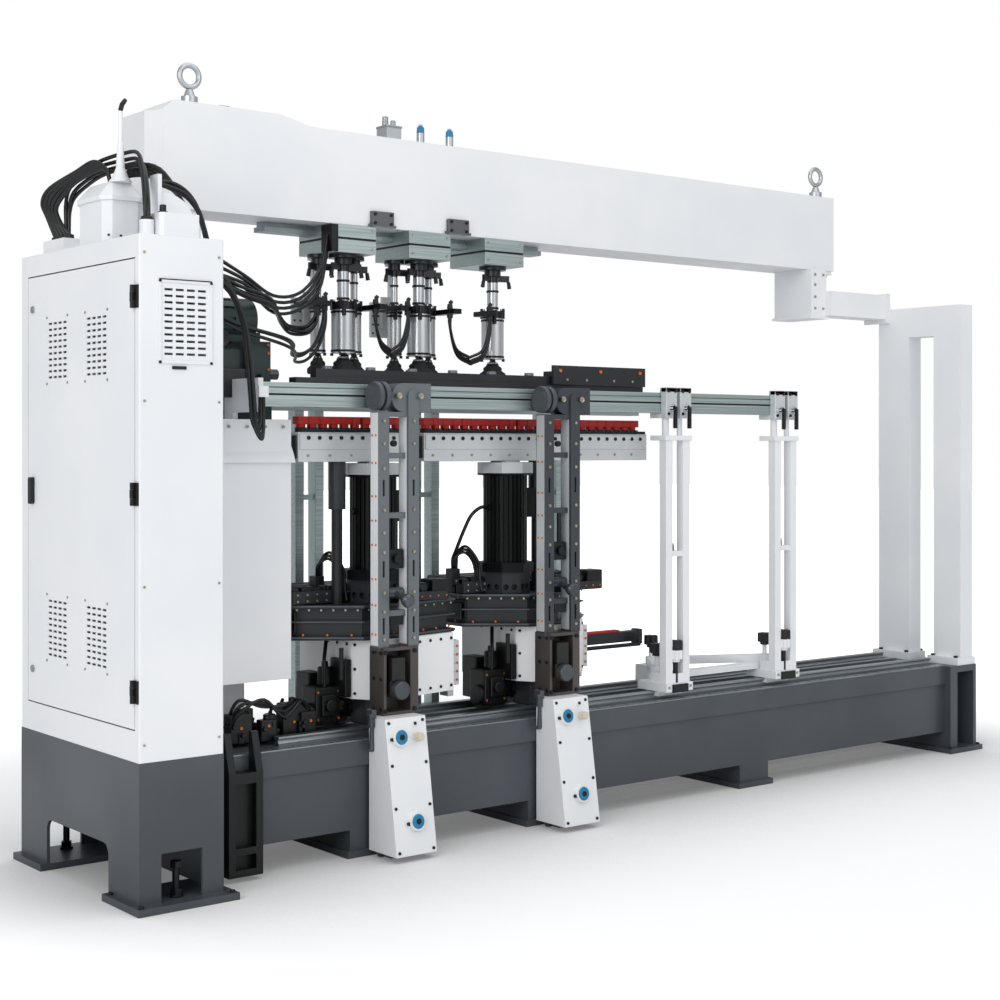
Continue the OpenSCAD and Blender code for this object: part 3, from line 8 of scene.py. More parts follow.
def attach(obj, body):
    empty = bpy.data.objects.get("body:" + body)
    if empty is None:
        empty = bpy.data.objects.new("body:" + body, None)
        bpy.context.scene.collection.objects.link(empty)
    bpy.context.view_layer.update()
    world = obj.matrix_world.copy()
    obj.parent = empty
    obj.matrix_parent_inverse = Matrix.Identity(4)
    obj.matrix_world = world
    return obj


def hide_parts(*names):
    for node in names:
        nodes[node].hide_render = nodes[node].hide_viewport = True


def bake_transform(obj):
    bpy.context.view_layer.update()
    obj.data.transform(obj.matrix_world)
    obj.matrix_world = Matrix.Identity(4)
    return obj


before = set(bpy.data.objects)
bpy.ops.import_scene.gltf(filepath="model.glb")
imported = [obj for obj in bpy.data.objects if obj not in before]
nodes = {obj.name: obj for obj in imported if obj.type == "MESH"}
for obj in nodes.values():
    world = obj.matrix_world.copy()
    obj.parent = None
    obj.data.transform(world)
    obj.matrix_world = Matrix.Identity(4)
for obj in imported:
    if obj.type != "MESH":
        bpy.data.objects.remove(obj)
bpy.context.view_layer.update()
scene = bpy.context.scene
scene.view_settings.view_transform = "Standard"

# Places below are in the machine's own millimetres: X and Y from the cabinet's front left corner, Z from the
# floor.
middle = {"x": 1545.0, "y": 305.5}


def mm(x, y, z):
    return Vector((x - middle["x"], y - middle["y"], z)) / 1000


# Directions that screws and caps face
front = (0, -1, 0)
leftward = (-1, 0, 0)
rightward = (1, 0, 0)
upward = (0, 0, 1)

# Camera
view = {"place": (-3.205, -3.6445, 1.0), "look": (0.6211, 0.7837, 0.0), "lens": 61.3, "shiftY": -0.0525,
        "sensor": 36, "far": 60}
camera = bpy.data.objects.new("camera", bpy.data.cameras.new("camera"))
scene.collection.objects.link(camera)
camera.location = view["place"]
camera.rotation_euler = Vector(view["look"]).to_track_quat("-Z", "Y").to_euler()
camera.data.lens = view["lens"]
camera.data.sensor_width = view["sensor"]
camera.data.shift_y = view["shiftY"]
camera.data.clip_end = view["far"]
scene.camera = camera
print("camera ready")


# Finishes
def tone(red, green, blue):
    def linear(value):
        return value / 12.92 if value <= 0.04045 else ((value + 0.055) / 1.055) ** 2.4
    return (linear(red / 255), linear(green / 255), linear(blue / 255), 1.0)


breakupDetail = {"Cloud": 4, "Grain": 2, "Scratch": 3}
scratchSqueeze = (2, 160, 160)  # long along X, fine across


def makeBreakupGroup():
    # soft cloudiness, fine grain and long scratches in one place
    group = bpy.data.node_groups.new("surfaceBreakup", "ShaderNodeTree")
    face = group.interface
    face.new_socket("Vector", in_out="INPUT", socket_type="NodeSocketVector")
    for name in ("Cloud Scale", "Grain Scale", "Stretch"):
        face.new_socket(name, in_out="INPUT", socket_type="NodeSocketFloat")
    for name in breakupDetail:
        face.new_socket(name, in_out="OUTPUT", socket_type="NodeSocketFloat")
    tree = group.nodes
    link = group.links.new
    start = tree.new("NodeGroupInput")
    end = tree.new("NodeGroupOutput")
    squeeze = tree.new("ShaderNodeVectorMath")
    squeeze.operation = "MULTIPLY"
    squeeze.inputs[1].default_value = scratchSqueeze
    link(start.outputs["Vector"], squeeze.inputs[0])
    plain = start.outputs["Vector"]
    where = {"Cloud": plain, "Grain": plain, "Scratch": squeeze.outputs[0]}
    scale = {"Cloud": "Cloud Scale", "Grain": "Grain Scale", "Scratch": "Stretch"}
    for name, detail in breakupDetail.items():
        noise = tree.new("ShaderNodeTexNoise")
        noise.inputs["Detail"].default_value = detail
        link(where[name], noise.inputs["Vector"])
        link(start.outputs[scale[name]], noise.inputs["Scale"])
        link(noise.outputs["Fac"], end.inputs[name])
    return group


breakup = makeBreakupGroup()

# What a finish has unless it says otherwise. Its zones are heights in mm with the colour above each,
# and topMetal is the share of metal above the last one.
plainLook = {"metal": 0.0, "coat": 0.0, "shine": 0.5, "cloud": 3.0, "grain": 700.0, "stretch": 1.0,
             "bump": 0.12, "edge": 0.0015, "scratched": False, "zones": (), "topMetal": 0.0}
wear = {"from": 0.35, "to": 0.65, "smoother": 0.05, "rougher": 0.08, "grainDepth": 0.0004, "edgeSamples": 4}


def paint(base, shade, rough, **more):
    return {**plainLook, "base": base, "shade": shade, "rough": rough, **more}


def makeFinish(name, look):
    material = bpy.data.materials.new(name)
    material.use_nodes = True
    tree = material.node_tree.nodes
    link = material.node_tree.links.new
    shader = tree["Principled BSDF"]
    place = tree.new("ShaderNodeTexCoord")
    group = tree.new("ShaderNodeGroup")
    group.node_tree = breakup
    group.inputs["Cloud Scale"].default_value = look["cloud"]
    group.inputs["Grain Scale"].default_value = look["grain"]
    group.inputs["Stretch"].default_value = look["stretch"]
    link(place.outputs["Object"], group.inputs["Vector"])
    pattern = group.outputs["Scratch" if look["scratched"] else "Cloud"]
    ramp = tree.new("ShaderNodeMapRange")
    ramp.inputs["From Min"].default_value = wear["from"]
    ramp.inputs["From Max"].default_value = wear["to"]
    link(pattern, ramp.inputs["Value"])
    mix = tree.new("ShaderNodeMix")
    mix.data_type = "RGBA"
    mix.inputs["A"].default_value = tone(*look["base"])
    mix.inputs["B"].default_value = tone(*look["shade"])
    link(ramp.outputs["Result"], mix.inputs["Factor"])
    colour = mix.outputs["Result"]
    shader.inputs["Metallic"].default_value = look["metal"]
    if look["zones"]:
        split = tree.new("ShaderNodeSeparateXYZ")
        link(place.outputs["Object"], split.inputs[0])
    for height, zoneColour in look["zones"]:
        above = tree.new("ShaderNodeMath")
        above.operation = "GREATER_THAN"
        above.inputs[1].default_value = height / 1000
        link(split.outputs["Z"], above.inputs[0])
        over = tree.new("ShaderNodeMix")
        over.data_type = "RGBA"
        over.inputs["B"].default_value = tone(*zoneColour)
        link(colour, over.inputs["A"])
        link(above.outputs[0], over.inputs["Factor"])
        colour = over.outputs["Result"]
    if look["zones"]:
        metal = tree.new("ShaderNodeMapRange")
        metal.inputs["To Min"].default_value = look["metal"]
        metal.inputs["To Max"].default_value = look["topMetal"]
        link(above.outputs[0], metal.inputs["Value"])
        link(metal.outputs["Result"], shader.inputs["Metallic"])
    link(colour, shader.inputs["Base Color"])
    roughness = tree.new("ShaderNodeMapRange")
    roughness.inputs["To Min"].default_value = look["rough"] - wear["smoother"]
    roughness.inputs["To Max"].default_value = look["rough"] + wear["rougher"]
    link(pattern, roughness.inputs["Value"])
    link(roughness.outputs["Result"], shader.inputs["Roughness"])
    shader.inputs["Coat Weight"].default_value = look["coat"]
    shader.inputs["Specular IOR Level"].default_value = look["shine"]
    rounded = tree.new("ShaderNodeBevel")
    rounded.samples = wear["edgeSamples"]
    rounded.inputs["Radius"].default_value = look["edge"]
    bump = tree.new("ShaderNodeBump")
    bump.inputs["Strength"].default_value = look["bump"]
    bump.inputs["Distance"].default_value = wear["grainDepth"]
    link(group.outputs["Grain"], bump.inputs["Height"])
    link(rounded.outputs["Normal"], bump.inputs["Normal"])
    link(bump.outputs["Normal"], shader.inputs["Normal"])
    return material


# Heights in mm at which a painted part changes colour
bracketTop = 508
boxFloor = 369.5
sleeveTop = 964.5
motorFoot = 664.5
motorTop = 931
collarFoot = 1369.0
collarTop = 1393.0
neckTop = 1472
beamUnderside = 1593
beamTop = 1838.5
chuckFoot = 1050.0
shankFoot = 1070.0
finishes = {
    "whitePaint": paint((236, 237, 239), (229, 231, 234), 0.42, coat=0.15, bump=0.06, slot="white_paint"),
    "slatePaint": paint((72, 77, 84), (62, 66, 72), 0.4, coat=0.1, bump=0.1),
    "towerPaint": paint((88, 81, 78), (76, 70, 67), 0.36, metal=0.35, bump=0.1, topMetal=0.35,
                        zones=((bracketTop, (108, 114, 118)),), slot="grey_paint"),
    # tower 2's copy of towerPaint, darker above the bracket: painted shade
    "towerPaintedShade": paint((88, 81, 78), (76, 70, 67), 0.36, metal=0.35, bump=0.1, topMetal=0.35,
                        zones=((bracketTop, (66, 70, 75)),)),
    "basePaint": paint((44, 47, 51), (30, 33, 36), 0.36, metal=0.2, bump=0.1, slot="dark_paint"),
    "bracketBrown": paint((84, 76, 72), (66, 60, 57), 0.36, metal=0.45, bump=0.1, slot="dark_paint"),
    "sidePaint": paint((52, 66, 66), (38, 52, 53), 0.42, metal=0.3, bump=0.2),
    "casting": paint((214, 217, 219), (190, 195, 198), 0.36, metal=0.25, bump=0.15, slot="casting"),
    "gearboxPaint": paint((58, 62, 66), (46, 49, 53), 0.36, metal=0.25, bump=0.15, topMetal=0.25,
                          zones=((sleeveTop, (210, 213, 215)),)),
    "carriagePaint": paint((74, 78, 82), (58, 62, 66), 0.45, metal=0.2, bump=0.15,
                           zones=((boxFloor, (242, 243, 244)),)),
    "beamSteel": paint((168, 178, 180), (140, 150, 153), 0.35, metal=0.7, bump=0.05, topMetal=0.9,
                       zones=((beamUnderside, (104, 106, 109)), (beamTop, (190, 194, 197)))),
    "leverSteel": paint((92, 97, 102), (70, 75, 80), 0.3, metal=0.6, bump=0.05, slot="bright_steel"),
    "railAluminium": paint((188, 200, 199), (158, 172, 172), 0.34, metal=0.8, bump=0.05, scratched=True,
                           stretch=2.0),
    "groundSteel": paint((176, 182, 186), (140, 147, 152), 0.32, metal=0.9, bump=0.05, scratched=True,
                         stretch=3.0, slot="bright_steel"),
    "barrelSteel": paint((206, 208, 210), (182, 185, 188), 0.27, metal=0.85, bump=0.03, topMetal=0.4,
                         zones=((collarFoot, (44, 45, 48)), (collarTop, (196, 199, 202)),
                                (neckTop, (40, 41, 44)))),
    "blackSteel": paint((24, 25, 27), (15, 16, 17), 0.38, metal=0.3, bump=0.1, slot="black_steel"),
    "motorBlack": paint((15, 16, 18), (9, 10, 11), 0.4, metal=0.1, slot="motor_black"),
    "motorPaint": paint((58, 61, 65), (44, 47, 51), 0.4, metal=0.1, shine=0.25, topMetal=0.2,
                        zones=((motorFoot, (5, 6, 8)), (motorTop, (196, 200, 202)))),
    "drillRed": paint((34, 30, 32), (28, 24, 26), 0.35, metal=0.2, bump=0.04, topMetal=0.1,
                      zones=((chuckFoot, (205, 30, 26)), (shankFoot, (40, 96, 170)))),
    "blackPlastic": paint((20, 21, 23), (14, 15, 16), 0.5, bump=0.2, grain=1200.0, slot="black_plastic"),
    "rubber": paint((22, 22, 23), (15, 15, 16), 0.72, bump=0.2, slot="foot_rubber"),
    "hoseJacket": paint((14, 15, 17), (9, 10, 11), 0.34, bump=0.06, slot="hose_black"),
    "counterBlue": paint((28, 132, 176), (22, 112, 156), 0.3, bump=0.03),
    "ivoryPlastic": paint((214, 206, 188), (200, 192, 174), 0.4, bump=0.04),
    "dialWhite": paint((232, 234, 232), (224, 226, 224), 0.35, bump=0.02),
    "zincBolt": paint((186, 178, 160), (160, 152, 134), 0.3, metal=0.85, bump=0.04),
    "orangeBolt": paint((222, 120, 36), (196, 98, 26), 0.4, metal=0.2, bump=0.04),
    "redStrip": paint((196, 34, 28), (170, 26, 22), 0.45, bump=0.04),
}
materials = {name: makeFinish(name, look) for name, look in finishes.items()}

# The finish of every node whose name starts so. The hoses are drawn anew further down.
finishOfNode = {
    "pedestal": "slatePaint", "levelling_bolts": "blackSteel", "cabinet_shell": "whitePaint",
    "door_hinges": "blackSteel", "cable_cover": "whitePaint", "cabinet_door": "whitePaint",
    "door_handle": "blackPlastic", "main_beam": "whitePaint", "beam_fittings": "beamSteel",
    "bed_frame": "slatePaint", "bed_rails": "groundSteel", "chain_bracket": "blackSteel",
    "portal_frame": "whitePaint", "beam_arm": "whitePaint", "front_rail": "railAluminium",
    "rear_rail": "railAluminium", "side_fence": "basePaint", "side_housing": "whitePaint",
    "side_unit": "sidePaint", "side_spindle": "leverSteel", "support_posts": "whitePaint",
    "link_arms": "whitePaint", "carriage_": "carriagePaint", "swivel_base_": "basePaint",
    "tower_1": "towerPaint", "tower_2": "towerPaintedShade", "clamp_wheels_": "slatePaint",
    "tower_lever_": "leverSteel", "console_": "whitePaint", "gearbox_": "gearboxPaint",
    "motor_1": "motorPaint", "motor_2": "motorPaint", "chucks_": "drillRed", "spindle_": "drillRed",
    "press_block_": "railAluminium", "press_cylinders_": "barrelSteel", "press_foot_": "rubber",
}
for name, node in nodes.items():
    for start, finish in finishOfNode.items():
        if name.startswith(start):
            node.data.materials.clear()
            node.data.materials.append(materials[finish])
print("materials ready:", len(materials))


# Mesh helpers. Blocks and rods are given in the machine's millimetres.
def finishPiece(name, mesh, finish, body=None):
    mesh.name = name
    mesh.materials.clear()
    mesh.materials.append(materials[finish])
    piece = bpy.data.objects.new(name, mesh)
    scene.collection.objects.link(piece)
    if body:
        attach(piece, body)
    return piece


def smoothSides(mesh):
    for polygon in mesh.polygons:
        polygon.use_smooth = len(polygon.vertices) == 4


def pieceFrom(name, bm, finish, body, smooth=False):
    bmesh.ops.recalc_face_normals(bm, faces=bm.faces)
    mesh = bpy.data.meshes.new(name)
    bm.to_mesh(mesh)
    bm.free()
    if smooth:
        smoothSides(mesh)
    return finishPiece(name, mesh, finish, body)


def roundEdges(bm, edges, width):
    bmesh.ops.bevel(bm, geom=edges, offset=width / 1000, offset_type="OFFSET", segments=2, profile=0.5,
                    affect="EDGES", material=-1)


def addBlock(bm, low, high, bevel=1.5):
    low, high = mm(*low), mm(*high)
    made = bmesh.ops.create_cube(bm, size=1)["verts"]
    bmesh.ops.scale(bm, vec=high - low, verts=made)
    bmesh.ops.translate(bm, vec=(high + low) / 2, verts=made)
    if bevel:
        roundEdges(bm, list({edge for vert in made for edge in vert.link_edges}), bevel)


def addRod(bm, start, end, radius, endRadius, sides=20, bevel=0.0):
    start, end = mm(*start), mm(*end)
    along = end - start
    place = Matrix.Translation((start + end) / 2) @ along.to_track_quat("Z", "Y").to_matrix().to_4x4()
    made = bmesh.ops.create_cone(bm, cap_ends=True, cap_tris=False, segments=sides, radius1=radius / 1000,
                                 radius2=endRadius / 1000, depth=along.length, matrix=place)["verts"]
    if bevel:
        edges = {edge for vert in made for edge in vert.link_edges}
        rims = [edge for edge in edges if any(len(face.verts) > 4 for face in edge.link_faces)]
        roundEdges(bm, rims, bevel)
    return made


screwShape = {"sides": 12, "taper": 0.95, "socket": 0.45, "depth": 0.5}


def addScrew(bm, place, axis, radius, height):
    # a cap screw head with its socket pressed in
    base, outward = Vector(place), Vector(axis)
    top = base + outward * height
    made = addRod(bm, base, top, radius, radius * screwShape["taper"], screwShape["sides"])
    faces = {face for vert in made for face in vert.link_faces}
    for face in faces:
        face.normal_update()
    cap = max(faces, key=lambda face: face.normal.dot(outward) * len(face.verts))
    bmesh.ops.inset_individual(bm, faces=[cap], thickness=radius * screwShape["socket"] / 1000, depth=0.0)
    bmesh.ops.translate(bm, vec=-outward * height * screwShape["depth"] / 1000, verts=list(cap.verts))


def screwPiece(name, places, finish, body, radius, height, axis=front):
    bm = bmesh.new()
    for place in places:
        addScrew(bm, place, axis, radius, height)
    return pieceFrom(name, bm, finish, body)


def alongPanel(start, end, shares, heights):
    # screw places on an upright panel between two points of its plan, and the way that it faces
    start, end = Vector((*start, 0)), Vector((*end, 0))
    run = end - start
    out = Vector((run.y, -run.x, 0)).normalized()
    return [start + run * t + out * 0.2 + Vector((0, 0, z)) for t in shares for z in heights], out


# Hoses and cables
def smoothPath(points, steps=5):
    route = [mm(*point) for point in points]
    padded = [route[0] * 2 - route[1]] + route + [route[-1] * 2 - route[-2]]
    made = []
    for i in range(1, len(padded) - 2):
        a, b, c, d = padded[i - 1:i + 3]
        for k in range(steps):
            t = k / steps
            made.append(0.5 * ((2 * b) + (c - a) * t + (2 * a - 5 * b + 4 * c - d) * t * t
                               + (3 * b - a - 3 * c + d) * t * t * t))
    made.append(route[-1])
    return made


def makeHose(name, points, radius, body=None, blendTo=None, replaces=None, stiffness="medium", declare=True):
    path = smoothPath(points)
    curve = bpy.data.curves.new(name + "Line", "CURVE")
    curve.dimensions = "3D"
    spline = curve.splines.new("POLY")
    spline.points.add(len(path) - 1)
    for point, place in zip(spline.points, path):
        point.co = (*place, 1)
    curve.bevel_depth = radius / 1000
    curve.bevel_resolution = 3
    curve.use_fill_caps = True
    line = bpy.data.objects.new(name + "Line", curve)
    scene.collection.objects.link(line)
    bpy.context.view_layer.update()
    mesh = bpy.data.meshes.new_from_object(line.evaluated_get(bpy.context.evaluated_depsgraph_get()))
    bpy.data.objects.remove(line)
    smoothSides(mesh)
    piece = finishPiece(name, mesh, "hoseJacket")
    if blendTo:
        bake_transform(piece)
    else:
        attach(piece, body)
    if replaces:
        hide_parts(replaces)


hoseRoutes = {
    "overCover": [[46, 466, 1494.3], [46, 466, 1530], [46, 464, 1574], [46, 440, 1608], [50, 370, 1632],
                  [58, 300, 1644], [86, 236, 1652], [90, 180, 1646], [80, 136, 1612], [66, 98, 1556],
                  [62, 88, 1520], [62, 88, 1502.3]],
    "feedHigh": [[108.3, 126, 1590], [136, 126, 1590], [176, 125, 1576], [206, 124, 1544], [226, 126, 1490],
                 [250, 140, 1430], [300, 180, 1390], [380, 214, 1366], [480, 256, 1350], [576, 380, 1328],
                 [640, 440, 1308], [700, 456, 1308], [728, 456, 1330], [734, 456, 1350], [734, 456, 1371.7]],
    "feedLow": [[205.3, 230, 1340], [236, 230, 1340], [300, 228, 1316], [380, 230, 1288], [500, 240, 1264],
                [566, 296, 1250], [628, 400, 1234], [690, 448, 1236], [730, 456, 1262], [750, 456, 1300],
                [759, 456, 1340], [759, 456, 1371.7]],
    "loopAB": [[921, 456, 1371.7], [921, 456, 1336], [938, 456, 1282], [973, 456, 1256], [1008, 456, 1282],
               [1026, 456, 1336], [1026, 456, 1371.7]],
    "loopBC": [[1170, 456, 1371.7], [1170, 456, 1336], [1192, 456, 1270], [1240, 456, 1246],
               [1288, 456, 1270], [1309, 456, 1336], [1309, 456, 1371.7]],
    "sideLoop": [[205.3, 130, 1400], [236, 130, 1400], [286, 128, 1374], [322, 122, 1300], [334, 116, 1210],
                 [340, 112, 1120], [346, 112, 1060], [362, 114, 1032], [374, 124, 1040], [379, 131, 1086],
                 [379, 131, 1117.7]],
    "motorLoop": [[1109, 361, 672.3], [1109, 361, 698], [1108, 344, 724], [1112, 320, 770], [1124, 300, 816],
                  [1148, 290, 838], [1167.7, 290, 838]],
}
# How the hoses of a bundle part between their ends: the first one's turn about the route and its lag, how
# far they wander, in mm, how that changes from hose to hose and along the route, and the bundle's flatness
strands = {"turn": 0.4, "lag": 1.3, "wander": 9.0, "perHose": 1.7, "perPoint": 0.9, "acrossX": 0.4,
           "acrossY": 0.6}


def makeBundle(name, route, replaces, count=3, radius=4.2, spread=7.0, **ways):
    last = len(route) - 1
    for k in range(count):
        turn = 2 * math.pi * k / count + strands["turn"]
        points = []
        for i, (x, y, z) in enumerate(route):
            ripple = 0.5 + 0.5 * math.sin(strands["perHose"] * k + strands["perPoint"] * i)
            apart = spread + strands["wander"] * math.sin(math.pi * i / last) * ripple
            points.append([x + apart * strands["acrossX"] * math.cos(turn + strands["lag"]),
                           y + apart * strands["acrossY"] * math.cos(turn),
                           z + (apart * math.sin(turn) if 0 < i < last else 0)])
        makeHose(name + "ABCDE"[k], points, radius, replaces=replaces if k == 0 else None, declare=k < 2,
                 **ways)


makeBundle("coverHose", hoseRoutes["overCover"], "cabinet_hoses", count=4, radius=4.6, spread=12,
           body="frame", stiffness="stiff")
makeBundle("feedHoseHigh", hoseRoutes["feedHigh"], "feed_hoses", count=4,
           blendTo=("frame", "press_a", mm(576, 380, 1328), mm(734, 380, 1328)))
makeBundle("feedHoseLow", hoseRoutes["feedLow"], "feed_hoses",
           blendTo=("frame", "press_a", mm(628, 400, 1234), mm(750, 400, 1234)))
for k in range(5):  # hoses from the plugs at the back over the cover, each to its own gland
    y, rise = 452 + 20 * k, 6 * k
    overTop = [[46, y, 1502], [30, y + 12, 1528 + rise], [14, y + 6, 1562 + rise], [16, y - 34, 1592 + rise],
               [30, 384, 1618 + rise], [42, 316, 1634 + rise], [50, 268, 1636], [54, 252, 1601]]
    makeHose("coverFan" + "ABCDE"[k], overTop, 5, "frame", stiffness="stiff", declare=k == 4)
    downSide = [[86, 296 - 6 * k, 1600], [110, 280 - 8 * k, 1626 + 5 * k], [150, 232 - 8 * k, 1622 + 4 * k],
                [196, 196 - 4 * k, 1580 - 3 * k], [226 + 3 * k, 190, 1520 - 8 * k], [238 + 3 * k, 210, 1450],
                [230, 230 + 10 * k, 1390 - 6 * k], [205.4, 236 + 12 * k, 1360 - 14 * k]]
    makeHose("rightFan" + "ABCDE"[k], downSide, 4.6, "frame", stiffness="stiff", declare=k == 4)
for k in range(4):  # sagging hoses from the cabinet to the left hold-down block
    sagging = [[205.4, 150 + 8 * k, 1474 - 28 * k], [240, 160, 1458 - 24 * k], [400, 250, 1414 - 10 * k],
               [540, 350, 1380 - 14 * k], [660, 420, 1398 - 14 * k], [736, 446, 1462 - 16 * k],
               [766, 462, 1530 - 12 * k], [775.6, 470, 1562 - 12 * k]]
    makeHose("blockHose" + "ABCD"[k], sagging, 4.4, declare=k == 3,
             blendTo=("frame", "press_a", mm(540, 350, 1376), mm(766, 350, 1376)))
for loop, leftBody, rightBody in (("loopAB", "press_a", "press_b"), ("loopBC", "press_b", "press_c")):
    route = hoseRoutes[loop]
    for letter, drop in zip("ABC", (-6, 4, 12)):  # each loop is halved at its lowest point
        lowered = [[x + drop * 0.5, y + drop * 0.4, z - (drop if 0 < i < len(route) - 1 else 0)]
                   for i, (x, y, z) in enumerate(route)]
        lowest = lowered[3]
        for side, half, body in (("Left", lowered[:4], leftBody), ("Right", lowered[3:][::-1], rightBody)):
            makeHose(loop + side + letter, half, 4.2, declare=letter == "C",
                     replaces="press_hoses" if side == "Left" and letter == "A" else None,
                     blendTo=("frame", body, mm(*lowest), mm(half[0][0], lowest[1], lowest[2])))
makeBundle("sideUnitHose", hoseRoutes["sideLoop"], "side_hose", count=4, radius=4.6, spread=11, body="frame")
makeHose("motorCable", hoseRoutes["motorLoop"], 5, replaces="motor_cable",
         blendTo=("carriage_2", "head_2", mm(1109, 361, 700), mm(1109, 361, 838)))
print("hoses ready")


# Cabinet
louvre = {"x": 110.5, "z": 1273, "width": 124, "height": 176, "rim": 7, "proud": 2.5}
halfW, halfH, halfRim = louvre["width"] / 2, louvre["height"] / 2, louvre["rim"] / 2
bm = bmesh.new()
for x0, x1, z0, z1 in ((-1, 1, -1, -1), (-1, 1, 1, 1), (-1, -1, -1, 1), (1, 1, -1, 1)):
    addBlock(bm, (louvre["x"] + x0 * halfW - halfRim, -louvre["proud"], louvre["z"] + z0 * halfH - halfRim),
             (louvre["x"] + x1 * halfW + halfRim, 0.5, louvre["z"] + z1 * halfH + halfRim), 0.8)
pieceFrom("ventFrame", bm, "whitePaint", "frame")
spots = [(louvre["x"] + a * halfW, -louvre["proud"], louvre["z"] + b * halfH)
         for a in (-1, 1) for b in (-1, 1)]
screwPiece("ventScrews", spots, "blackSteel", "frame", 3.2, 1.6)
spots = [(x, -0.2, z) for x in (12, 193) for z in (360, 700, 1100, 1420)]
screwPiece("cabinetScrews", spots, "zincBolt", "frame", 3, 1.5)
door = {"lockY": 559, "locks": (470, 1330), "hinges": (474, 899.5, 1325), "ventY": (211, 420),
        "ventZ": (576, 1228), "ventW": 114, "ventH": 156}
bm = bmesh.new()
for z in door["locks"]:
    addRod(bm, (0.2, door["lockY"], z), (-4, door["lockY"], z), 9, 8.4, 20, 0.6)
pieceFrom("doorLocks", bm, "groundSteel", "door")
bm = bmesh.new()
for z in door["hinges"]:
    addRod(bm, (-6, 21.5, z - 9.6), (-6, 21.5, z + 9.6), 5.25, 5.25, 24)
    addBlock(bm, (-3.1, 26.4, z - 9.6), (0.2, 40.6, z + 9.6), 0.4)
pieceFrom("hingeKnuckles", bm, "blackSteel", "door")
spots = [(-0.2, y + a * door["ventW"] / 2, z + b * door["ventH"] / 2)
         for y in door["ventY"] for z in door["ventZ"] for a in (-1, 1) for b in (-1, 1)]
screwPiece("doorVentScrews", spots, "zincBolt", "door", 3, 1.6, leftward)
bm = bmesh.new()
addBlock(bm, (78, -3, 1170), (112, 0.3, 1177), 0.6)
addBlock(bm, (47, -3.4, 1363.5), (174, -0.3, 1366), 0.4)
pieceFrom("ventTab", bm, "blackPlastic", "frame")
bm = bmesh.new()
addRod(bm, (92, 70, 1517.5), (92, 70, 1536), 7.8, 7.2, 24, 1.2)
addRod(bm, (92, 70, 1517.8), (92, 70, 1521), 11, 11, 24, 0.8)
pieceFrom("junctionKnob", bm, "blackPlastic", "frame")

# Plugs and glands on the cable cover
bm = bmesh.new()
for y in (452, 480, 508, 534):
    addRod(bm, (46, y, 1494), (46, y, 1504), 10, 9, 16, 0.8)
addRod(bm, (62, 88, 1500), (62, 88, 1510), 15, 12, 20, 1)
pieceFrom("coverGlands", bm, "blackPlastic", "frame")
screwPiece("coverBolts", [(20 + 30 * i, 191.5, 1476) for i in range(4)], "blackSteel", "frame", 3, 2)
bm = bmesh.new()
addRod(bm, (60, 214, 1763), (60, 206, 1775), 5.5, 5.5, 12)
addRod(bm, (60, 206, 1775), (60, 190, 1782), 5.5, 5.0, 12)
pieceFrom("spoutTip", bm, "blackPlastic", "frame")
print("cabinet dressed")


# The two vertical units: middle of the tower and of the console, motor, far corner of the carriage box from
# the tower, and the finish of the light sheets on the tower's left-facing faces, which are painted light
units = {"1": {"tower": 760, "console": 740, "motor": 800, "corner": (236, 34), "sides": "whitePaint"},
         "2": {"tower": 1292, "console": 1272, "motor": 1234, "corner": (216, 110), "sides": "casting"}}

# Consoles. Their front leans back from the foot to the top.
console = {"width": 120, "low": 15, "high": 341, "lowY": 12, "highY": 62}
rise, lean = console["high"] - console["low"], console["highY"] - console["lowY"]
leanAngle = math.atan2(lean, rise)
consoleOut = Vector((0, -math.cos(leanAngle), math.sin(leanAngle)))


def onConsole(centre, across, up, out=0.0):
    place = (centre + across * console["width"], console["lowY"] + up * lean, console["low"] + up * rise)
    return Vector(place) + consoleOut * out


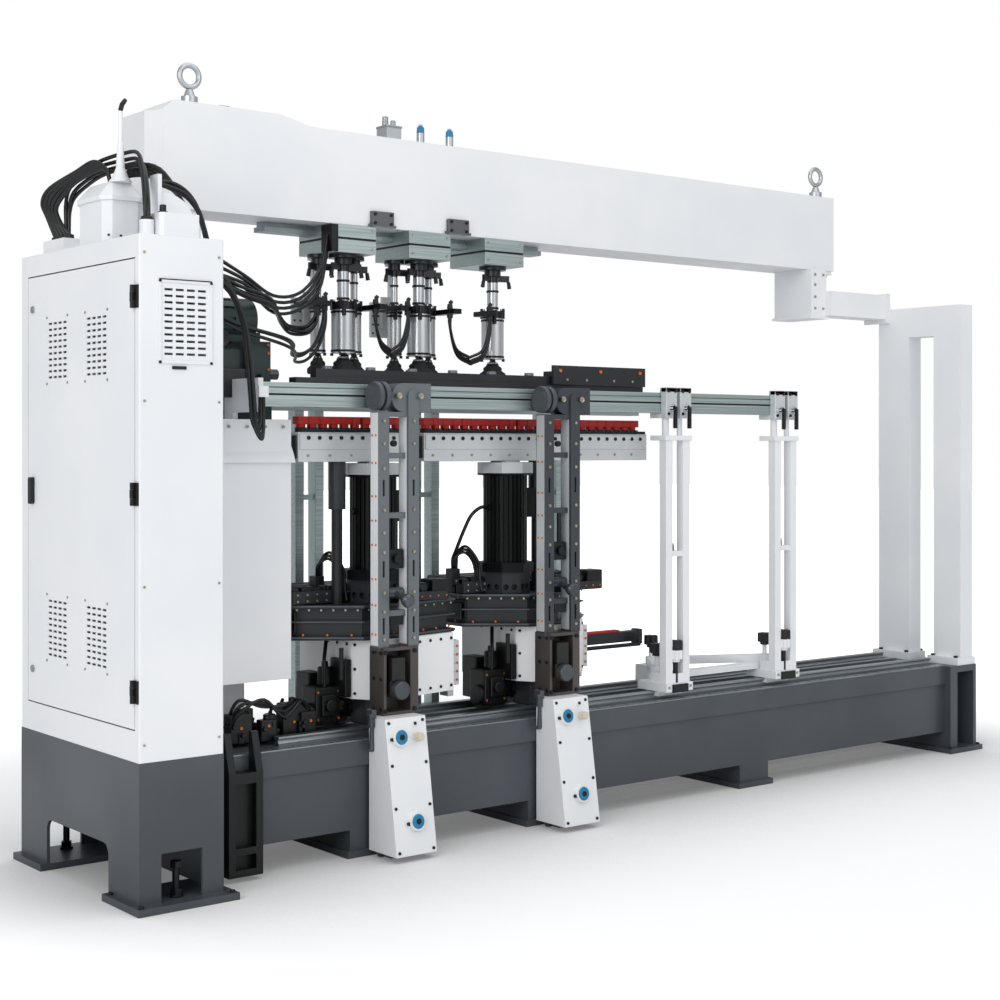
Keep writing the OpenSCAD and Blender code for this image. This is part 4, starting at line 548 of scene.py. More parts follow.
for number, unit in units.items():
    body = "carriage_" + number
    x = unit["console"]
    bezel, ring, hub = bmesh.new(), bmesh.new(), bmesh.new()
    for across, up in ((-0.18, 0.86), (0.05, 0.24)):
        addRod(bezel, onConsole(x, across, up, -0.5), onConsole(x, across, up, 9.5), 25, 23, 32, 1)
        addRod(ring, onConsole(x, across, up, 9), onConsole(x, across, up, 12), 18.5, 16, 32, 1)
        addRod(hub, onConsole(x, across, up, 11.5), onConsole(x, across, up, 14), 7.5, 6.5, 20, 0.6)
        beside = across - 0.2, up - 0.01
        addRod(hub, onConsole(x, *beside, -0.5), onConsole(x, *beside, 7), 4.5, 4.5, 12)
    pieceFrom("counterBezel" + number, bezel, "dialWhite", body)
    pieceFrom("counterRing" + number, ring, "counterBlue", body)
    pieceFrom("counterHub" + number, hub, "blackSteel", body)
    bm = bmesh.new()
    addRod(bm, onConsole(x, 0.22, 0.85, 5), onConsole(x, 0.22, 0.85, 26), 11.5, 10, 14, 1.5)
    pieceFrom("consoleKnob" + number, bm, "ivoryPlastic", body)
    bolts = [onConsole(x, across, up) for across in (-0.42, 0.42) for up in (0.03, 0.35, 0.66, 0.97)]
    bolts.append(onConsole(x, 0.2, 0.95, 5))
    screwPiece("consoleBolts" + number, bolts, "blackSteel", body, 4, 2.5, consoleOut)
    bm = bmesh.new()
    for dx in (-46, 46):
        addRod(bm, (x + dx, 96, 15.2), (x + dx, 96, 3), 13, 10, 16, 1.5)
        addBlock(bm, (x + dx - 12, 40, 9), (x + dx + 12, 70, 15.2), 1)
    pieceFrom("consoleFeet" + number, bm, "bracketBrown", body)
    bm = bmesh.new()  # grab handle on the bed side of the box
    addRod(bm, (x - 64, 112, 262), (x - 64, 112, 322), 7, 5, 12, 1.5)
    addRod(bm, (x - 70, 118, 262), (x - 58, 112, 262), 5, 5, 10)
    addRod(bm, (x - 66, 110, 318), (x - 72, 104, 352), 9, 7, 14, 2)
    addBlock(bm, (x - 74, 96, 340), (x - 60, 124, 362), 3)
    addRod(bm, (x + 62, 112, 262), (x + 62, 112, 336), 6, 6, 12, 1.5)
    pieceFrom("consoleLatch" + number, bm, "leverSteel", body)
print("consoles dressed")


# Towers
tower = {"width": 118, "upright": 32, "front": 120, "linkZ": 1128,
         "bolts": (528, 596, 642, 742, 790, 846, 948, 1010, 1066),
         "sideBolts": (540, 612, 676, 760, 820, 880, 962, 1030)}
for number, unit in units.items():
    body = "carriage_" + number
    x = unit["tower"]
    toUpright = (tower["width"] - tower["upright"]) / 2
    spots = [(x - toUpright, tower["front"] - 0.2, z) for z in tower["bolts"]]
    spots += [(x + toUpright, tower["front"] - 6.2, z) for z in tower["bolts"]]
    screwPiece("towerBolts" + number, spots, "zincBolt", body, 4.5, 3)
    side = x - tower["width"] / 2 - 0.2
    spots = [(side, tower["front"] + dy, z) for dy in (10, 26) for z in tower["sideBolts"]]
    screwPiece("towerSideBolts" + number, spots, "orangeBolt", body, 3, 1.8, leftward)
    spots = [(x + dx, 109.8, z) for dx in (-46, 42) for z in (352, 496)]
    screwPiece("bracketBolts" + number, spots, "blackSteel", body, 5.5, 4)
    spots = [(x - 50.2, y, z) for y in (122, 152) for z in (356, 430, 494)]
    screwPiece("bracketSideBolts" + number, spots, "blackSteel", body, 4.5, 3, leftward)
    bm = bmesh.new()
    addRod(bm, (x - 10, 100, 403), (x - 10, 84, 403), 24.5, 22, 36, 2.5)
    pieceFrom("bracketCap" + number, bm, "leverSteel", body, smooth=True)
    bm = bmesh.new()
    addBlock(bm, (x - 31, 101, 424), (x + 9, 134, 482), 3)
    addBlock(bm, (x - 34, 104, 392), (x + 12, 134, 426), 2)
    pieceFrom("bracketBox" + number, bm, "blackPlastic", body)
    spots = [(x + dx, 108, tower["linkZ"]) for dx in (-5, 60)]
    screwPiece("linkPivots" + number, spots, "zincBolt", body, 8, 3)
    bm = bmesh.new()  # clamp jaw and adjusting nuts between the uprights
    addBlock(bm, (x - 22, 128, 700), (x + 22, 150, 748), 2)
    addRod(bm, (x, 124, 724), (x, 118, 724), 13, 12, 6, 0.8)
    addRod(bm, (x, 132, 748), (x, 132, 826), 6, 6, 12)
    addBlock(bm, (x - 20, 126, 560), (x + 20, 146, 584), 2)
    addRod(bm, (x - 12, 118, 1010), (x - 12, 128, 1010), 8, 8, 14, 1)
    pieceFrom("towerClamp" + number, bm, "blackSteel", body)
print("towers dressed")


# Carriages and swivel bases
panel = {"front": 172, "rows": (384, 506), "tallRows": (384, 445, 506)}
for number, unit in units.items():
    body = "carriage_" + number
    x, (reach, back) = unit["tower"], unit["corner"]
    endX, endY = x + reach, panel["front"] + back
    shares = (0.06, 0.28, 0.5, 0.72, 0.94)
    spots, out = alongPanel((x + 60, panel["front"]), (endX, endY), shares, panel["rows"])
    screwPiece("panelBolts" + number, spots, "blackSteel", body, 4, 2.5, out)
    spots, out = alongPanel((x - 62, 238), (x - 24, panel["front"]), (0.15, 0.85), panel["tallRows"])
    screwPiece("nearPanelBolts" + number, spots, "blackSteel", body, 4, 2.5, out)
    spots = [(x - 62.2, y, z) for y in (256, 300, 344, 388, 432, 466) for z in panel["rows"]]
    screwPiece("leftPanelBolts" + number, spots, "blackSteel", body, 4, 2.5, leftward)
    bm = bmesh.new()  # bolted end plate of the cross slide
    addBlock(bm, (endX - 2, endY + 10, 380), (endX + 26, endY + 112, 498), 2)
    addBlock(bm, (endX - 2, endY + 24, 350), (endX + 18, endY + 60, 382), 2)
    pieceFrom("endPlate" + number, bm, "casting", body)
    spots = [(endX + dx, endY + 9.8, z) for dx in (4, 18) for z in (394, 416, 438, 460, 482)]
    screwPiece("endPlateBolts" + number, spots, "orangeBolt", body, 3.4, 2.6)
    bm = bmesh.new()  # guide beams and carriers on the swivel base
    low = x - 196
    addBlock(bm, (low, 302, 607), (x + 196, 330, 632), 2)
    addBlock(bm, (low, 336, 607), (x + 196, 352, 622), 1.5)
    addRod(bm, (low + 6, 318, 640), (x - 70, 318, 640), 9, 9, 16, 1)
    addBlock(bm, (low + 4, 296, 536), (low + 12, 470, 590), 1.5)
    for dx in (-170, -96, 112, 168):
        addBlock(bm, (x + dx, 296, 607), (x + dx + 34, 336, 652), 2)
    addRod(bm, (x + 100, 212, 607), (x + 100, 212, 646), 24, 20, 20, 2)
    addRod(bm, (x + 148, 250, 607), (x + 148, 250, 650), 20, 16, 20, 2)
    addBlock(bm, (x + 170, 210, 607), (x + 226, 262, 660), 3)
    addRod(bm, (x + 64, 232, 640), (x + 190, 236, 640), 12, 12, 16, 1.5)
    pieceFrom("swivelGuides" + number, bm, "blackSteel", body)
    spots = [(low - 4.2, y, z) for y in (312, 372, 440) for z in (524.5, 602)]
    screwPiece("swivelBolts" + number, spots, "orangeBolt", body, 3, 1.8, leftward)
    bm = bmesh.new()  # drive under the carriage
    addRod(bm, (x - 20, 300, 340), (x - 20, 352, 340), 26, 26, 24, 2)
    addRod(bm, (x - 20, 286, 340), (x - 20, 300, 340), 14, 14, 20, 1)
    addBlock(bm, (x + 20, 290, 316), (x + 92, 356, boxFloor), 3)
    addRod(bm, (x + 56, 286, 338), (x + 56, 300, 338), 20, 20, 24, 2)
    addBlock(bm, (x + 96, 286, 330), (x + 144, 360, boxFloor), 3)
    addRod(bm, (x + 118, 236, 350), (x + 118, 286, 350), 14, 12, 20, 2)
    addRod(bm, (x - 46, 300, 352), (x + 150, 300, 352), 7, 7, 14)
    pieceFrom("carriageDrive" + number, bm, "motorBlack", body)
print("carriages dressed")


# Boring heads. Each has a row of drills, one of which turns on its own joint.
heads = {"1": {"x": 555, "count": 10, "driver": 5}, "2": {"x": 937, "count": 24, "driver": 9}}
drill = {"pitch": 32, "margin": 12, "y": 290, "capLow": 1058, "capHigh": 1077.6, "capHalf": 15.6}
for number, head in heads.items():
    body = "head_" + number
    start, count = head["x"], head["count"]
    end = start + count * drill["pitch"] + 2 * drill["margin"]
    row = [start + drill["margin"] + drill["pitch"] * (i + 0.5) for i in range(count)]
    caps, driverCap, pins = bmesh.new(), bmesh.new(), bmesh.new()
    for i, x in enumerate(row):
        low, high = (x, drill["y"], drill["capLow"]), (x, drill["y"], drill["capHigh"])
        if i == head["driver"]:  # round, so that it clears its neighbours as it turns
            addRod(driverCap, low, high, 14.8, 14.6, 32, 1.2)
        else:
            addBlock(caps, (x - drill["capHalf"], 275.5, drill["capLow"]),
                     (x + drill["capHalf"], 304, drill["capHigh"]), 1.2)
            addRod(pins, (x + 5, 274, 1039.5), (x + 5, 270, 1049), 3, 2.4, 8)
    pieceFrom("drillCaps" + number, caps, "redStrip", body)
    pieceFrom("driverCap" + number, driverCap, "redStrip", "drill_" + number)
    pieceFrom("drillPins" + number, pins, "counterBlue", body)
    screwPiece("headBolts" + number, [(x, 252.8, 1024) for x in row], "blackSteel", body, 5.2, 2.4)
    spots = [(start + 28 + 2 * drill["pitch"] * i, 255.8, 980) for i in range(count // 2)]
    screwPiece("headLowBolts" + number, spots, "zincBolt", body, 3.4, 2.2)
    bm = bmesh.new()  # thin dark rail under the drills and the end covers
    addBlock(bm, (start + 6, 254, 1038.2), (end - 6, 260, 1046), 0.8)
    addBlock(bm, (start - 7, 262, 972), (start + 0.2, 318, 1030), 1.5)
    addBlock(bm, (end - 0.2, 262, 972), (end + 2, 318, 1030), 0.8)
    pieceFrom("headTrim" + number, bm, "blackSteel", body)
print("boring heads dressed")


# Rails, fence and what lies in the bed
# thin black strips in the rail's slots: painted shade in the grooves
bm = bmesh.new()
addBlock(bm, (388.6, 174.4, 1125), (2254.4, 176.2, 1129.2), 0)
addBlock(bm, (389, 170.5, 1141.4), (2254, 171.6, 1144.4), 0)
pieceFrom("railSlotPaintedShade", bm, "blackSteel", "frame")
screwPiece("railEndBolts", [(2255.2, 192, z) for z in (1110, 1144)], "blackSteel", "frame", 6, 3, rightward)
screwPiece("fenceBolts", [(x, 165.8, 1208) for x in (1325, 1470, 1618)], "orangeBolt", "frame", 5, 3)
spots = [(x, 165.8, 1184) for x in (1350, 1420, 1520, 1590)]
screwPiece("fenceSmallBolts", spots, "zincBolt", "frame", 3.6, 2)
bed = {"rollers": 8, "rollerPitch": 128, "marks": 46, "markPitch": 54, "links": 7, "linkPitch": 25,
       "floor": 292}
bm = bmesh.new()
for i in range(bed["rollers"]):  # along the top of the long fence bar
    x = 600 + bed["rollerPitch"] * i
    addRod(bm, (x, 195, 1192), (x, 195, 1200), 13, 12, 20, 1)
pieceFrom("fenceRollers", bm, "towerPaint", "frame")
bm = bmesh.new()
for i in range(bed["marks"]):  # scale on the bed's front edge, with every fifth mark longer
    x = 420 + bed["markPitch"] * i
    addBlock(bm, (x, 142, 286), (x + 2, 156 if i % 5 else 160, 286.5), 0)
pieceFrom("bedScaleMarks", bm, "blackSteel", "frame")
bm = bmesh.new()
for i in range(bed["links"]):  # energy chain in the bed slot, left of the carriages
    x = 392 + bed["linkPitch"] * i
    addBlock(bm, (x, 268, 288), (x + 21, 318, 322), 2)
    addBlock(bm, (x + 17, 272, 292), (x + 29, 314, 318), 1)
pieceFrom("energyChain", bm, "blackPlastic", "frame")
bm = bmesh.new()  # terminal boxes and valves behind the chain, in the shade of the cabinet
for x, y, width, depth, height in ((352, 230, 60, 36, 70), (430, 220, 44, 26, 52), (500, 236, 66, 32, 84),
                                   (546, 226, 44, 30, 60)):
    top, port = bed["floor"] + height, bed["floor"] + height * 0.6
    addBlock(bm, (x, y, bed["floor"]), (x + width, y + depth, top), 3)
    addRod(bm, (x + width / 2, y + 14, top), (x + width / 2, y + 14, top + 12), 9, 8, 16, 1)
    addRod(bm, (x + 8, y + 1, port), (x + 8, y - 8, port), 6, 6, 12, 1)
pieceFrom("bedValves", bm, "motorBlack", "frame")
spots = [(x, y, 330) for x, y in ((380, 229.8), (450, 219.8), (530, 235.8), (572, 225.8))]
screwPiece("bedValveCaps", spots, "orangeBolt", "frame", 4, 2.4)
print("rails dressed")


# Support posts
star = {"radius": 16.8, "lobe": 6.8, "lobeRing": 15, "foot": 7.6, "height": 27.5, "neck": 13.4}
posts = {"xs": (1748, 2200), "jaws": (-22, 34)}


def addStar(bm, x, y, z):
    low, high = z + star["foot"], z + star["foot"] + star["height"]
    addRod(bm, (x, y, low), (x, y, high), star["radius"], star["radius"], 28, 1.5)
    for k in range(6):
        turn = math.radians(60 * k)
        a, b = x + star["lobeRing"] * math.cos(turn), y + star["lobeRing"] * math.sin(turn)
        addRod(bm, (a, b, low), (a, b, high), star["lobe"], star["lobe"] * 0.9, 14, 1)
    addRod(bm, (x, y, z - 0.5), (x, y, z + 9), star["neck"], star["neck"], 20)


stars, jaws = bmesh.new(), bmesh.new()
for x in posts["xs"]:
    addStar(stars, x - 4, 152, 416)
    addStar(stars, x, 232, 400)
    for dx in posts["jaws"]:
        addBlock(jaws, (x + dx - 22, 147.4, 1083.5), (x + dx + 22, 169.6, 1170.6), 2)
        addBlock(jaws, (x + dx - 22, 147.4, 1156.4), (x + dx + 22, 174.6, 1170.6), 2)
addStar(stars, 1880, 396, 400)
pieceFrom("starKnobs", stars, "blackPlastic", "posts")
pieceFrom("railJaws", jaws, "casting", "posts")
spots = [(x + dx + side, 147.2, z) for x in posts["xs"] for dx in posts["jaws"] for side in (-13, 13)
         for z in (1096, 1160)]
screwPiece("jawBolts", spots, "blackSteel", "posts", 4.4, 3)
bm = bmesh.new()
for x in posts["xs"]:
    for dx in posts["jaws"]:
        addRod(bm, (x + dx, 136, 1112), (x + dx, 147, 1112), 9, 9, 6, 0.6)
        addBlock(bm, (x + dx - 4.4, 128, 1054), (x + dx + 4.4, 139, 1116), 2)
    addRod(bm, (x - 8, 164, 706), (x - 8, 164, 727), 7.6, 7, 16, 1)
    addRod(bm, (x - 4, 152, 331), (x - 4, 152, 417), 7.5, 7.5, 14)
    addBlock(bm, (x - 30, 132, 305), (x + 30, 139, 328), 1.5)
pieceFrom("postFittings", bm, "blackSteel", "posts")
spots = [(x + dx, 137.8, 320) for x in posts["xs"] for dx in (-42, 42)]
screwPiece("postFootBolts", spots, "zincBolt", "posts", 4, 2.5)
print("posts dressed")


# Hold-downs. A cylinder is its place from the group's middle, radius, foot radius and foot.
def cylindersOf(letter):
    sides = ((-58, 540, 20, 28, letter + "2"), (58, 540, 20, 28, letter + "3"))
    return ((0, 505, 32, 37, letter + "1"), *sides)


groups = {"a": {"x": 849, "cylinders": cylindersOf("a")}, "b": {"x": 1098, "cylinders": cylindersOf("b")},
          "c": {"x": 1359, "cylinders": cylindersOf("c")[:1]}}
for letter, group in groups.items():
    body = "press_" + letter
    fittings, rings = bmesh.new(), bmesh.new()
    for dx, y, r, footR, foot in group["cylinders"]:
        x = group["x"] + dx
        for angle in (45, 135, 225, 315):  # tie rod nuts over the collar and under the barrel
            turn = math.radians(angle)
            a, b = x + (r - 1) * math.cos(turn), y + (r - 1) * math.sin(turn)
            addRod(fittings, (a, b, 1369), (a, b, 1398), 4.6, 4.6, 6, 0.5)
            addRod(fittings, (a, b, 1246), (a, b, 1254), 4.4, 4.4, 6, 0.5)
        turn = math.radians(235)
        a, b = x + r * math.cos(turn), y + r * math.sin(turn)
        addRod(fittings, (a, b - 6, 1352), (a, b - 6, 1368), 6, 6, 12, 0.8)
        addRod(fittings, (a, b - 8, 1366), (a, b - 8, 1392), 4.5, 3.6, 12, 0.8)
        for angle in (200, 340):  # knobs on the clamp levers
            turn = math.radians(angle)
            a, b = x + (r + 16) * math.cos(turn), y + (r + 16) * math.sin(turn)
            addRod(fittings, (a, b, 1476), (a + 4 * math.cos(turn), b, 1456), 5, 6, 12, 1.2)
        for z in (1256, 1360):
            addRod(rings, (x, y, z), (x, y, z + 6), r + 1.6, r + 1.6, 36, 0.8)
        for z in (1396, 1444):
            addRod(rings, (x, y, z), (x, y, z + 6), r * 0.48 + 2.5, r * 0.48 + 2.5, 28, 0.8)
        pad = bmesh.new()  # moulded rubber foot, turned round its rod
        profile = ((0.1, 1196.8), (footR - 2.5, 1196.8), (footR + 0.8, 1200), (footR + 0.8, 1210),
                   (footR - 2, 1214), (footR * 0.8, 1217), (footR * 0.7, 1221), (footR * 0.74, 1225),
                   (footR * 0.66, 1230), (footR * 0.5, 1234), (footR * 0.46, 1239.4), (0.1, 1239.4))
        verts = [pad.verts.new(mm(x + radius, y, z)) for radius, z in profile]
        edges = [pad.edges.new(pair) for pair in zip(verts, verts[1:])]
        bmesh.ops.spin(pad, geom=verts + edges, cent=mm(x, y, 1200), axis=upward, angle=2 * math.pi,
                       steps=40, use_merge=True)
        bmesh.ops.remove_doubles(pad, verts=pad.verts, dist=0.0004)
        pieceFrom("footPad_" + foot, pad, "rubber", "foot_" + foot, smooth=True)
        bm = bmesh.new()
        addRod(bm, (x, y, 1235), (x, y, 1244), r * 0.36 + 4, r * 0.36 + 4, 6, 0.8)
        addRod(bm, (x, y, 1236), (x, y, 1244.6), 7.02, 7.02, 24)
        pieceFrom("rodNut_" + foot, bm, "groundSteel", "foot_" + foot)
    pieceFrom("pressFittings_" + letter, fittings, "blackSteel", body)
    pieceFrom("pressRings_" + letter, rings, "blackSteel", body)
    x = group["x"]
    # thin black strips in the block's slots: painted shade in the grooves
    bm = bmesh.new()
    addBlock(bm, (x - 69, 450.6, 1551), (x + 69, 452, 1558), 0)
    addBlock(bm, (x - 69.6, 455, 1551), (x - 66, 614, 1558), 0)
    pieceFrom("blockSlotPaintedShade_" + letter, bm, "blackSteel", body)
    spots = [(x + dx, 449.8, z) for dx in (-58, 58) for z in (1530, 1580)]
    screwPiece("blockBolts_" + letter, spots, "zincBolt", body, 3.4, 2)
bm = bmesh.new()
addBlock(bm, (779.5, 447, 1518), (797, 450.2, 1590), 1.5)
addBlock(bm, (776, 447, 1518), (779.8, 500, 1590), 1.5)
pieceFrom("blockEndPlate", bm, "blackSteel", "press_a")
print("hold-downs dressed")


# Light sheets on the left-facing faces of the towers' uprights, lighter than the uprights: painted light on
# their lit side
for number, unit in units.items():
    x = unit["tower"]
    bm = bmesh.new()
    addBlock(bm, (x - 59.6, 122, 512), (x - 58.8, 154, 1086), 0.2)
    addBlock(bm, (x + 26.3, 122, 512), (x + 27.1, 154, 1086), 0.2)
    pieceFrom("towerSide" + number, bm, unit["sides"], "carriage_" + number)

# Machinery on each carriage: the drive cluster at its left, then what sits on the swivel base
for number, unit in units.items():
    body = "carriage_" + number
    x, (reach, back) = unit["tower"], unit["corner"]
    bm = bmesh.new()
    addBlock(bm, (x - 150, 262, 308), (x - 78, 330, 402), 4)
    addBlock(bm, (x - 138, 250, 330), (x - 96, 264, 384), 3)
    addRod(bm, (x - 117, 250, 357), (x - 117, 238, 357), 17, 15, 24, 2)
    addRod(bm, (x - 100, 300, 402), (x - 100, 300, 448), 20, 18, 24, 3)
    addRod(bm, (x - 100, 300, 448), (x - 100, 300, 462), 9, 8, 16, 1)
    addBlock(bm, (x - 84, 230, 376), (x - 66, 300, 470), 2)
    addBlock(bm, (x - 128, 330, 318), (x - 84, 392, 430), 3)
    addRod(bm, (x - 160, 290, 336), (x - 150, 290, 336), 26, 26, 28, 2)
    addRod(bm, (x - 92, 236, 420), (x - 92, 236, 500), 6, 6, 12, 1)
    addRod(bm, (x - 120, 270, 402), (x - 126, 262, 470), 5, 5, 12, 1)
    addRod(bm, (x - 126, 262, 470), (x - 96, 300, 512), 5, 5, 12, 1)
    for dx in (-146, -132, -96, -84):
        addRod(bm, (x + dx, 261, 316), (x + dx, 257, 316), 4, 4, 8, 0.6)
    pieceFrom("driveCluster" + number, bm, "motorBlack", body)
    bm = bmesh.new()
    addBlock(bm, (x - 24, 224, 300), (x + 30, 300, 369.6), 4)
    addRod(bm, (x + 4, 224, 334), (x + 4, 214, 334), 20, 17, 28, 2)
    addBlock(bm, (x + 150, 320, 306), (x + 196, 384, 369.6), 4)
    addRod(bm, (x + 173, 320, 340), (x + 173, 306, 340), 16, 14, 24, 2)
    pieceFrom("carriageCasting" + number, bm, "leverSteel", body)
    spots = [(x + dx, 261.8, z) for dx in (-144, -84) for z in (322, 390)]
    screwPiece("clusterBolts" + number, spots, "orangeBolt", body, 3, 2)

    bm = bmesh.new()  # slide beams and blocks on top of the swivel base
    addBlock(bm, (x - 204, 300, 540), (x - 199.6, 470, 582), 1)
    addBlock(bm, (x - 198, 292, 608), (x - 60, 300, 640), 1.5)
    addBlock(bm, (x + 60, 196, 607), (x + 96, 228, 622), 1.5)
    addBlock(bm, (x + 100, 206, 607), (x + 216, 214, 630), 1.5)
    addBlock(bm, (x + 216, 214, 607), (x + 224, 300, 630), 1.5)
    for i in range(5):
        addBlock(bm, (x - 190 + 30 * i, 304, 632), (x - 172 + 30 * i, 332, 646 + 6 * (i % 2)), 2)
    for i in range(3):
        addBlock(bm, (x + 108 + 34 * i, 222, 622), (x + 130 + 34 * i, 246, 640 + 5 * (i % 2)), 2)
    pieceFrom("slideBeams" + number, bm, "basePaint", body)
    bm = bmesh.new()
    addRod(bm, (x - 190, 342, 636), (x - 66, 342, 636), 7.5, 7.5, 16, 1)
    addRod(bm, (x - 190, 366, 632), (x - 66, 366, 632), 6, 6, 16, 1)
    addRod(bm, (x + 104, 232, 646), (x + 206, 236, 646), 6, 6, 16, 1)
    pieceFrom("slideRods" + number, bm, "groundSteel", body)
    plan = [(x - 200, 470), (x - 200, 298), (x - 58, 186), (x + 62, 186), (x + reach + 14, 188 + back),
            (x + reach + 14, 470)]
    walls = list(zip(plan, plan[1:]))
    bm = bmesh.new()  # lighter steel rods along the swivel base's top and bottom edges as painted edge highlights, and one along the seam in its middle
    for start, end in walls:
        for z, r in ((604, 3.4), (526, 3.4), (566, 2.4)):
            addRod(bm, (*start, z), (*end, z), r, r, 10)
    pieceFrom("swivelHighlightsAndSeam" + number, bm, "leverSteel", body)
    for z, finish, step, row in ((596, "zincBolt", 30, "High"), (534, "orangeBolt", 46, "Low")):
        for side, (start, end) in enumerate(walls):
            count = int(math.dist(start, end) // step)
            spots, out = alongPanel(start, end, [(i + 0.5) / count for i in range(count)], (z,))
            screwPiece("swivel%sBolts%s_%d" % (row, number, side), spots, finish, body, 3, 1.8, out)
    x0 = unit["motor"]
    for k in range(3):  # cables from the block at the motor's foot
        cable = [[x0 - 125 + 6 * k, 361, 672], [x0 - 128 + 6 * k, 350, 700 + 8 * k],
                 [x0 - 106, 336 - 6 * k, 716 + 8 * k], [x0 - 86 + 3 * k, 322 - 8 * k, 690],
                 [x0 - 82, 312 - 8 * k, 640], [x0 - 80, 306 - 8 * k, 612]]
        makeHose("footCable%s_%d" % (number, k), cable, 4, body, declare=False)
    spots = [(x - 184 + 28 * i, 291.8, z) for i in range(5) for z in (616, 632)]
    screwPiece("slideBolts" + number, spots, "zincBolt", body, 2.6, 1.6)
    spots = [(x + 108 + 26 * i, 205.8, 618) for i in range(5)]
    screwPiece("slideRustBolts" + number, spots, "orangeBolt", body, 2.6, 1.6)

# Rear slide, which shows at the right of unit 2
slide = {"start": 1508, "end": 1880, "y0": 446, "y1": 474, "low": 414, "high": 446}
bm = bmesh.new()
addBlock(bm, (slide["start"], slide["y0"], slide["low"]), (slide["end"], slide["y1"], slide["high"]), 3)
addBlock(bm, (slide["end"] - 8, slide["y0"] - 2, 405), (slide["end"] + 10, slide["y1"] + 2, 450), 1.5)
addRod(bm, (slide["start"], 450, 404), (slide["end"] + 4, 450, 404), 6, 6, 14, 1)
addRod(bm, (slide["start"], 470, 402), (slide["end"] + 4, 470, 402), 5, 5, 14, 1)
pieceFrom("rearSlide", bm, "basePaint", "carriage_2")
bm = bmesh.new()
addBlock(bm, (slide["start"] + 6, slide["y0"] + 2, slide["high"] - 0.5), (1800, slide["y1"] - 2, 452), 1)
pieceFrom("rearSlideStrip", bm, "redStrip", "carriage_2")

# Cables and valves between the bed beams at the left end
bm = bmesh.new()
for i in range(10):
    x, y = 372 + 21 * i, 226 + 17 * (i * 5 % 4)
    low, height = 291.5, 26 + 13 * (i * 7 % 5)
    port = low + 8.5 + height / 2
    addBlock(bm, (x, y, low), (x + 17, y + 24, low + height), 2)
    addRod(bm, (x + 8, y + 12, low + height), (x + 10, y + 8, low + height + 11.5), 5, 4, 12, 1)
    addRod(bm, (x + 8, y, port), (x + 8, y - 9, port), 5, 5, 12, 1)
pieceFrom("valveCluster", bm, "motorBlack", "frame")
for k in range(3):
    cable = [[352, 236 + 12 * k, 330], [372, 214 + 8 * k, 372 + 12 * k], [430, 208 + 6 * k, 396 - 9 * k],
             [490, 214, 348 + 14 * k], [548, 226 + 10 * k, 380], [584, 244 + 8 * k, 322]]
    makeHose("bedCable" + "ABC"[k], cable, 4.2, "frame", declare=False)

# Light valve plates behind the hold-down groups, and fittings on the hose ports
for letter, x in (("a", 742), ("b", 996)):
    bm = bmesh.new()
    addBlock(bm, (x, 592, 1306), (x + 58, 600, 1404), 2)
    addBlock(bm, (x + 34, 586, 1330), (x + 74, 594, 1420), 2)
    addRod(bm, (x + 66, 594, 1400), (x + 66, 594, 1517.6), 6, 6, 12)
    addBlock(bm, (x + 56, 584, 1506), (x + 86, 604, 1517.8), 1.5)
    pieceFrom("valvePlate_" + letter, bm, "casting", "press_" + letter)
    spots = [(x + dx, 591.8, z) for dx in (8, 26) for z in (1318, 1342, 1366, 1392)]
    screwPiece("valvePlateBolts_" + letter, spots, "blackSteel", "press_" + letter, 3, 2)
ports = {"y": 456, "xs": {"a": (734, 759, 921), "b": (1026, 1170), "c": (1309,)}}
for letter, xs in ports["xs"].items():
    y = ports["y"]
    bm = bmesh.new()
    for x in xs:
        addRod(bm, (x, y, 1385), (x, y, 1399), 8.5, 7, 6, 0.8)
        addRod(bm, (x, y, 1399), (x + 5, y - 3, 1408), 6, 5, 12, 1)
        addRod(bm, (x, y, 1360), (x, y, 1372.5), 8.5, 8.5, 6, 0.8)
    pieceFrom("portElbows_" + letter, bm, "blackPlastic", "press_" + letter)
print("machinery added")


# Beam and portal
bm = bmesh.new()
for x in (1128, 1229):
    addRod(bm, (x, 537.5, 1880), (x, 537.5, 1897), 11.4, 10, 16, 1.2)
    addRod(bm, (x, 537.5, 1897), (x, 537.5, 1904), 7, 5, 14, 0.8)
pieceFrom("couplingTips", bm, "counterBlue", "frame")
bm = bmesh.new()
addBlock(bm, (995, 510, 1879.6), (1047, 564, 1886), 1.5)
addRod(bm, (1008, 537, 1885), (1008, 537, 1912), 9, 8, 16, 1.2)
addRod(bm, (1034, 537, 1885), (1034, 537, 1904), 8, 7, 16, 1.2)
pieceFrom("beamValve", bm, "groundSteel", "frame")
spots = [(x, 443.8, z) for x in (912, 964, 1167, 1219) for z in (1602, 1626)]
screwPiece("clampBolts", spots, "blackSteel", "frame", 4.4, 3)
spots = [(2664, 435.8, z) for z in (1462, 1500, 1540, 1574)] + [(2704, 435.8, z) for z in (1462, 1574)]
screwPiece("armBolts", spots, "zincBolt", "frame", 4.5, 3)
spots = [(x, y, 307) for y in (128, 219, 329, 437) for x in (3004, 3082)]
screwPiece("portalBolts", spots, "blackSteel", "frame", 7, 6, upward)
spots = [(x, y, 16) for y in (-18, 130) for x in (-4, 217)]
spots += [(x, y, 16) for y in (108, 470) for x in (2950, 3096)]
screwPiece("floorBolts", spots, "blackSteel", "frame", 6, 5, upward)
print("beam and portal dressed")


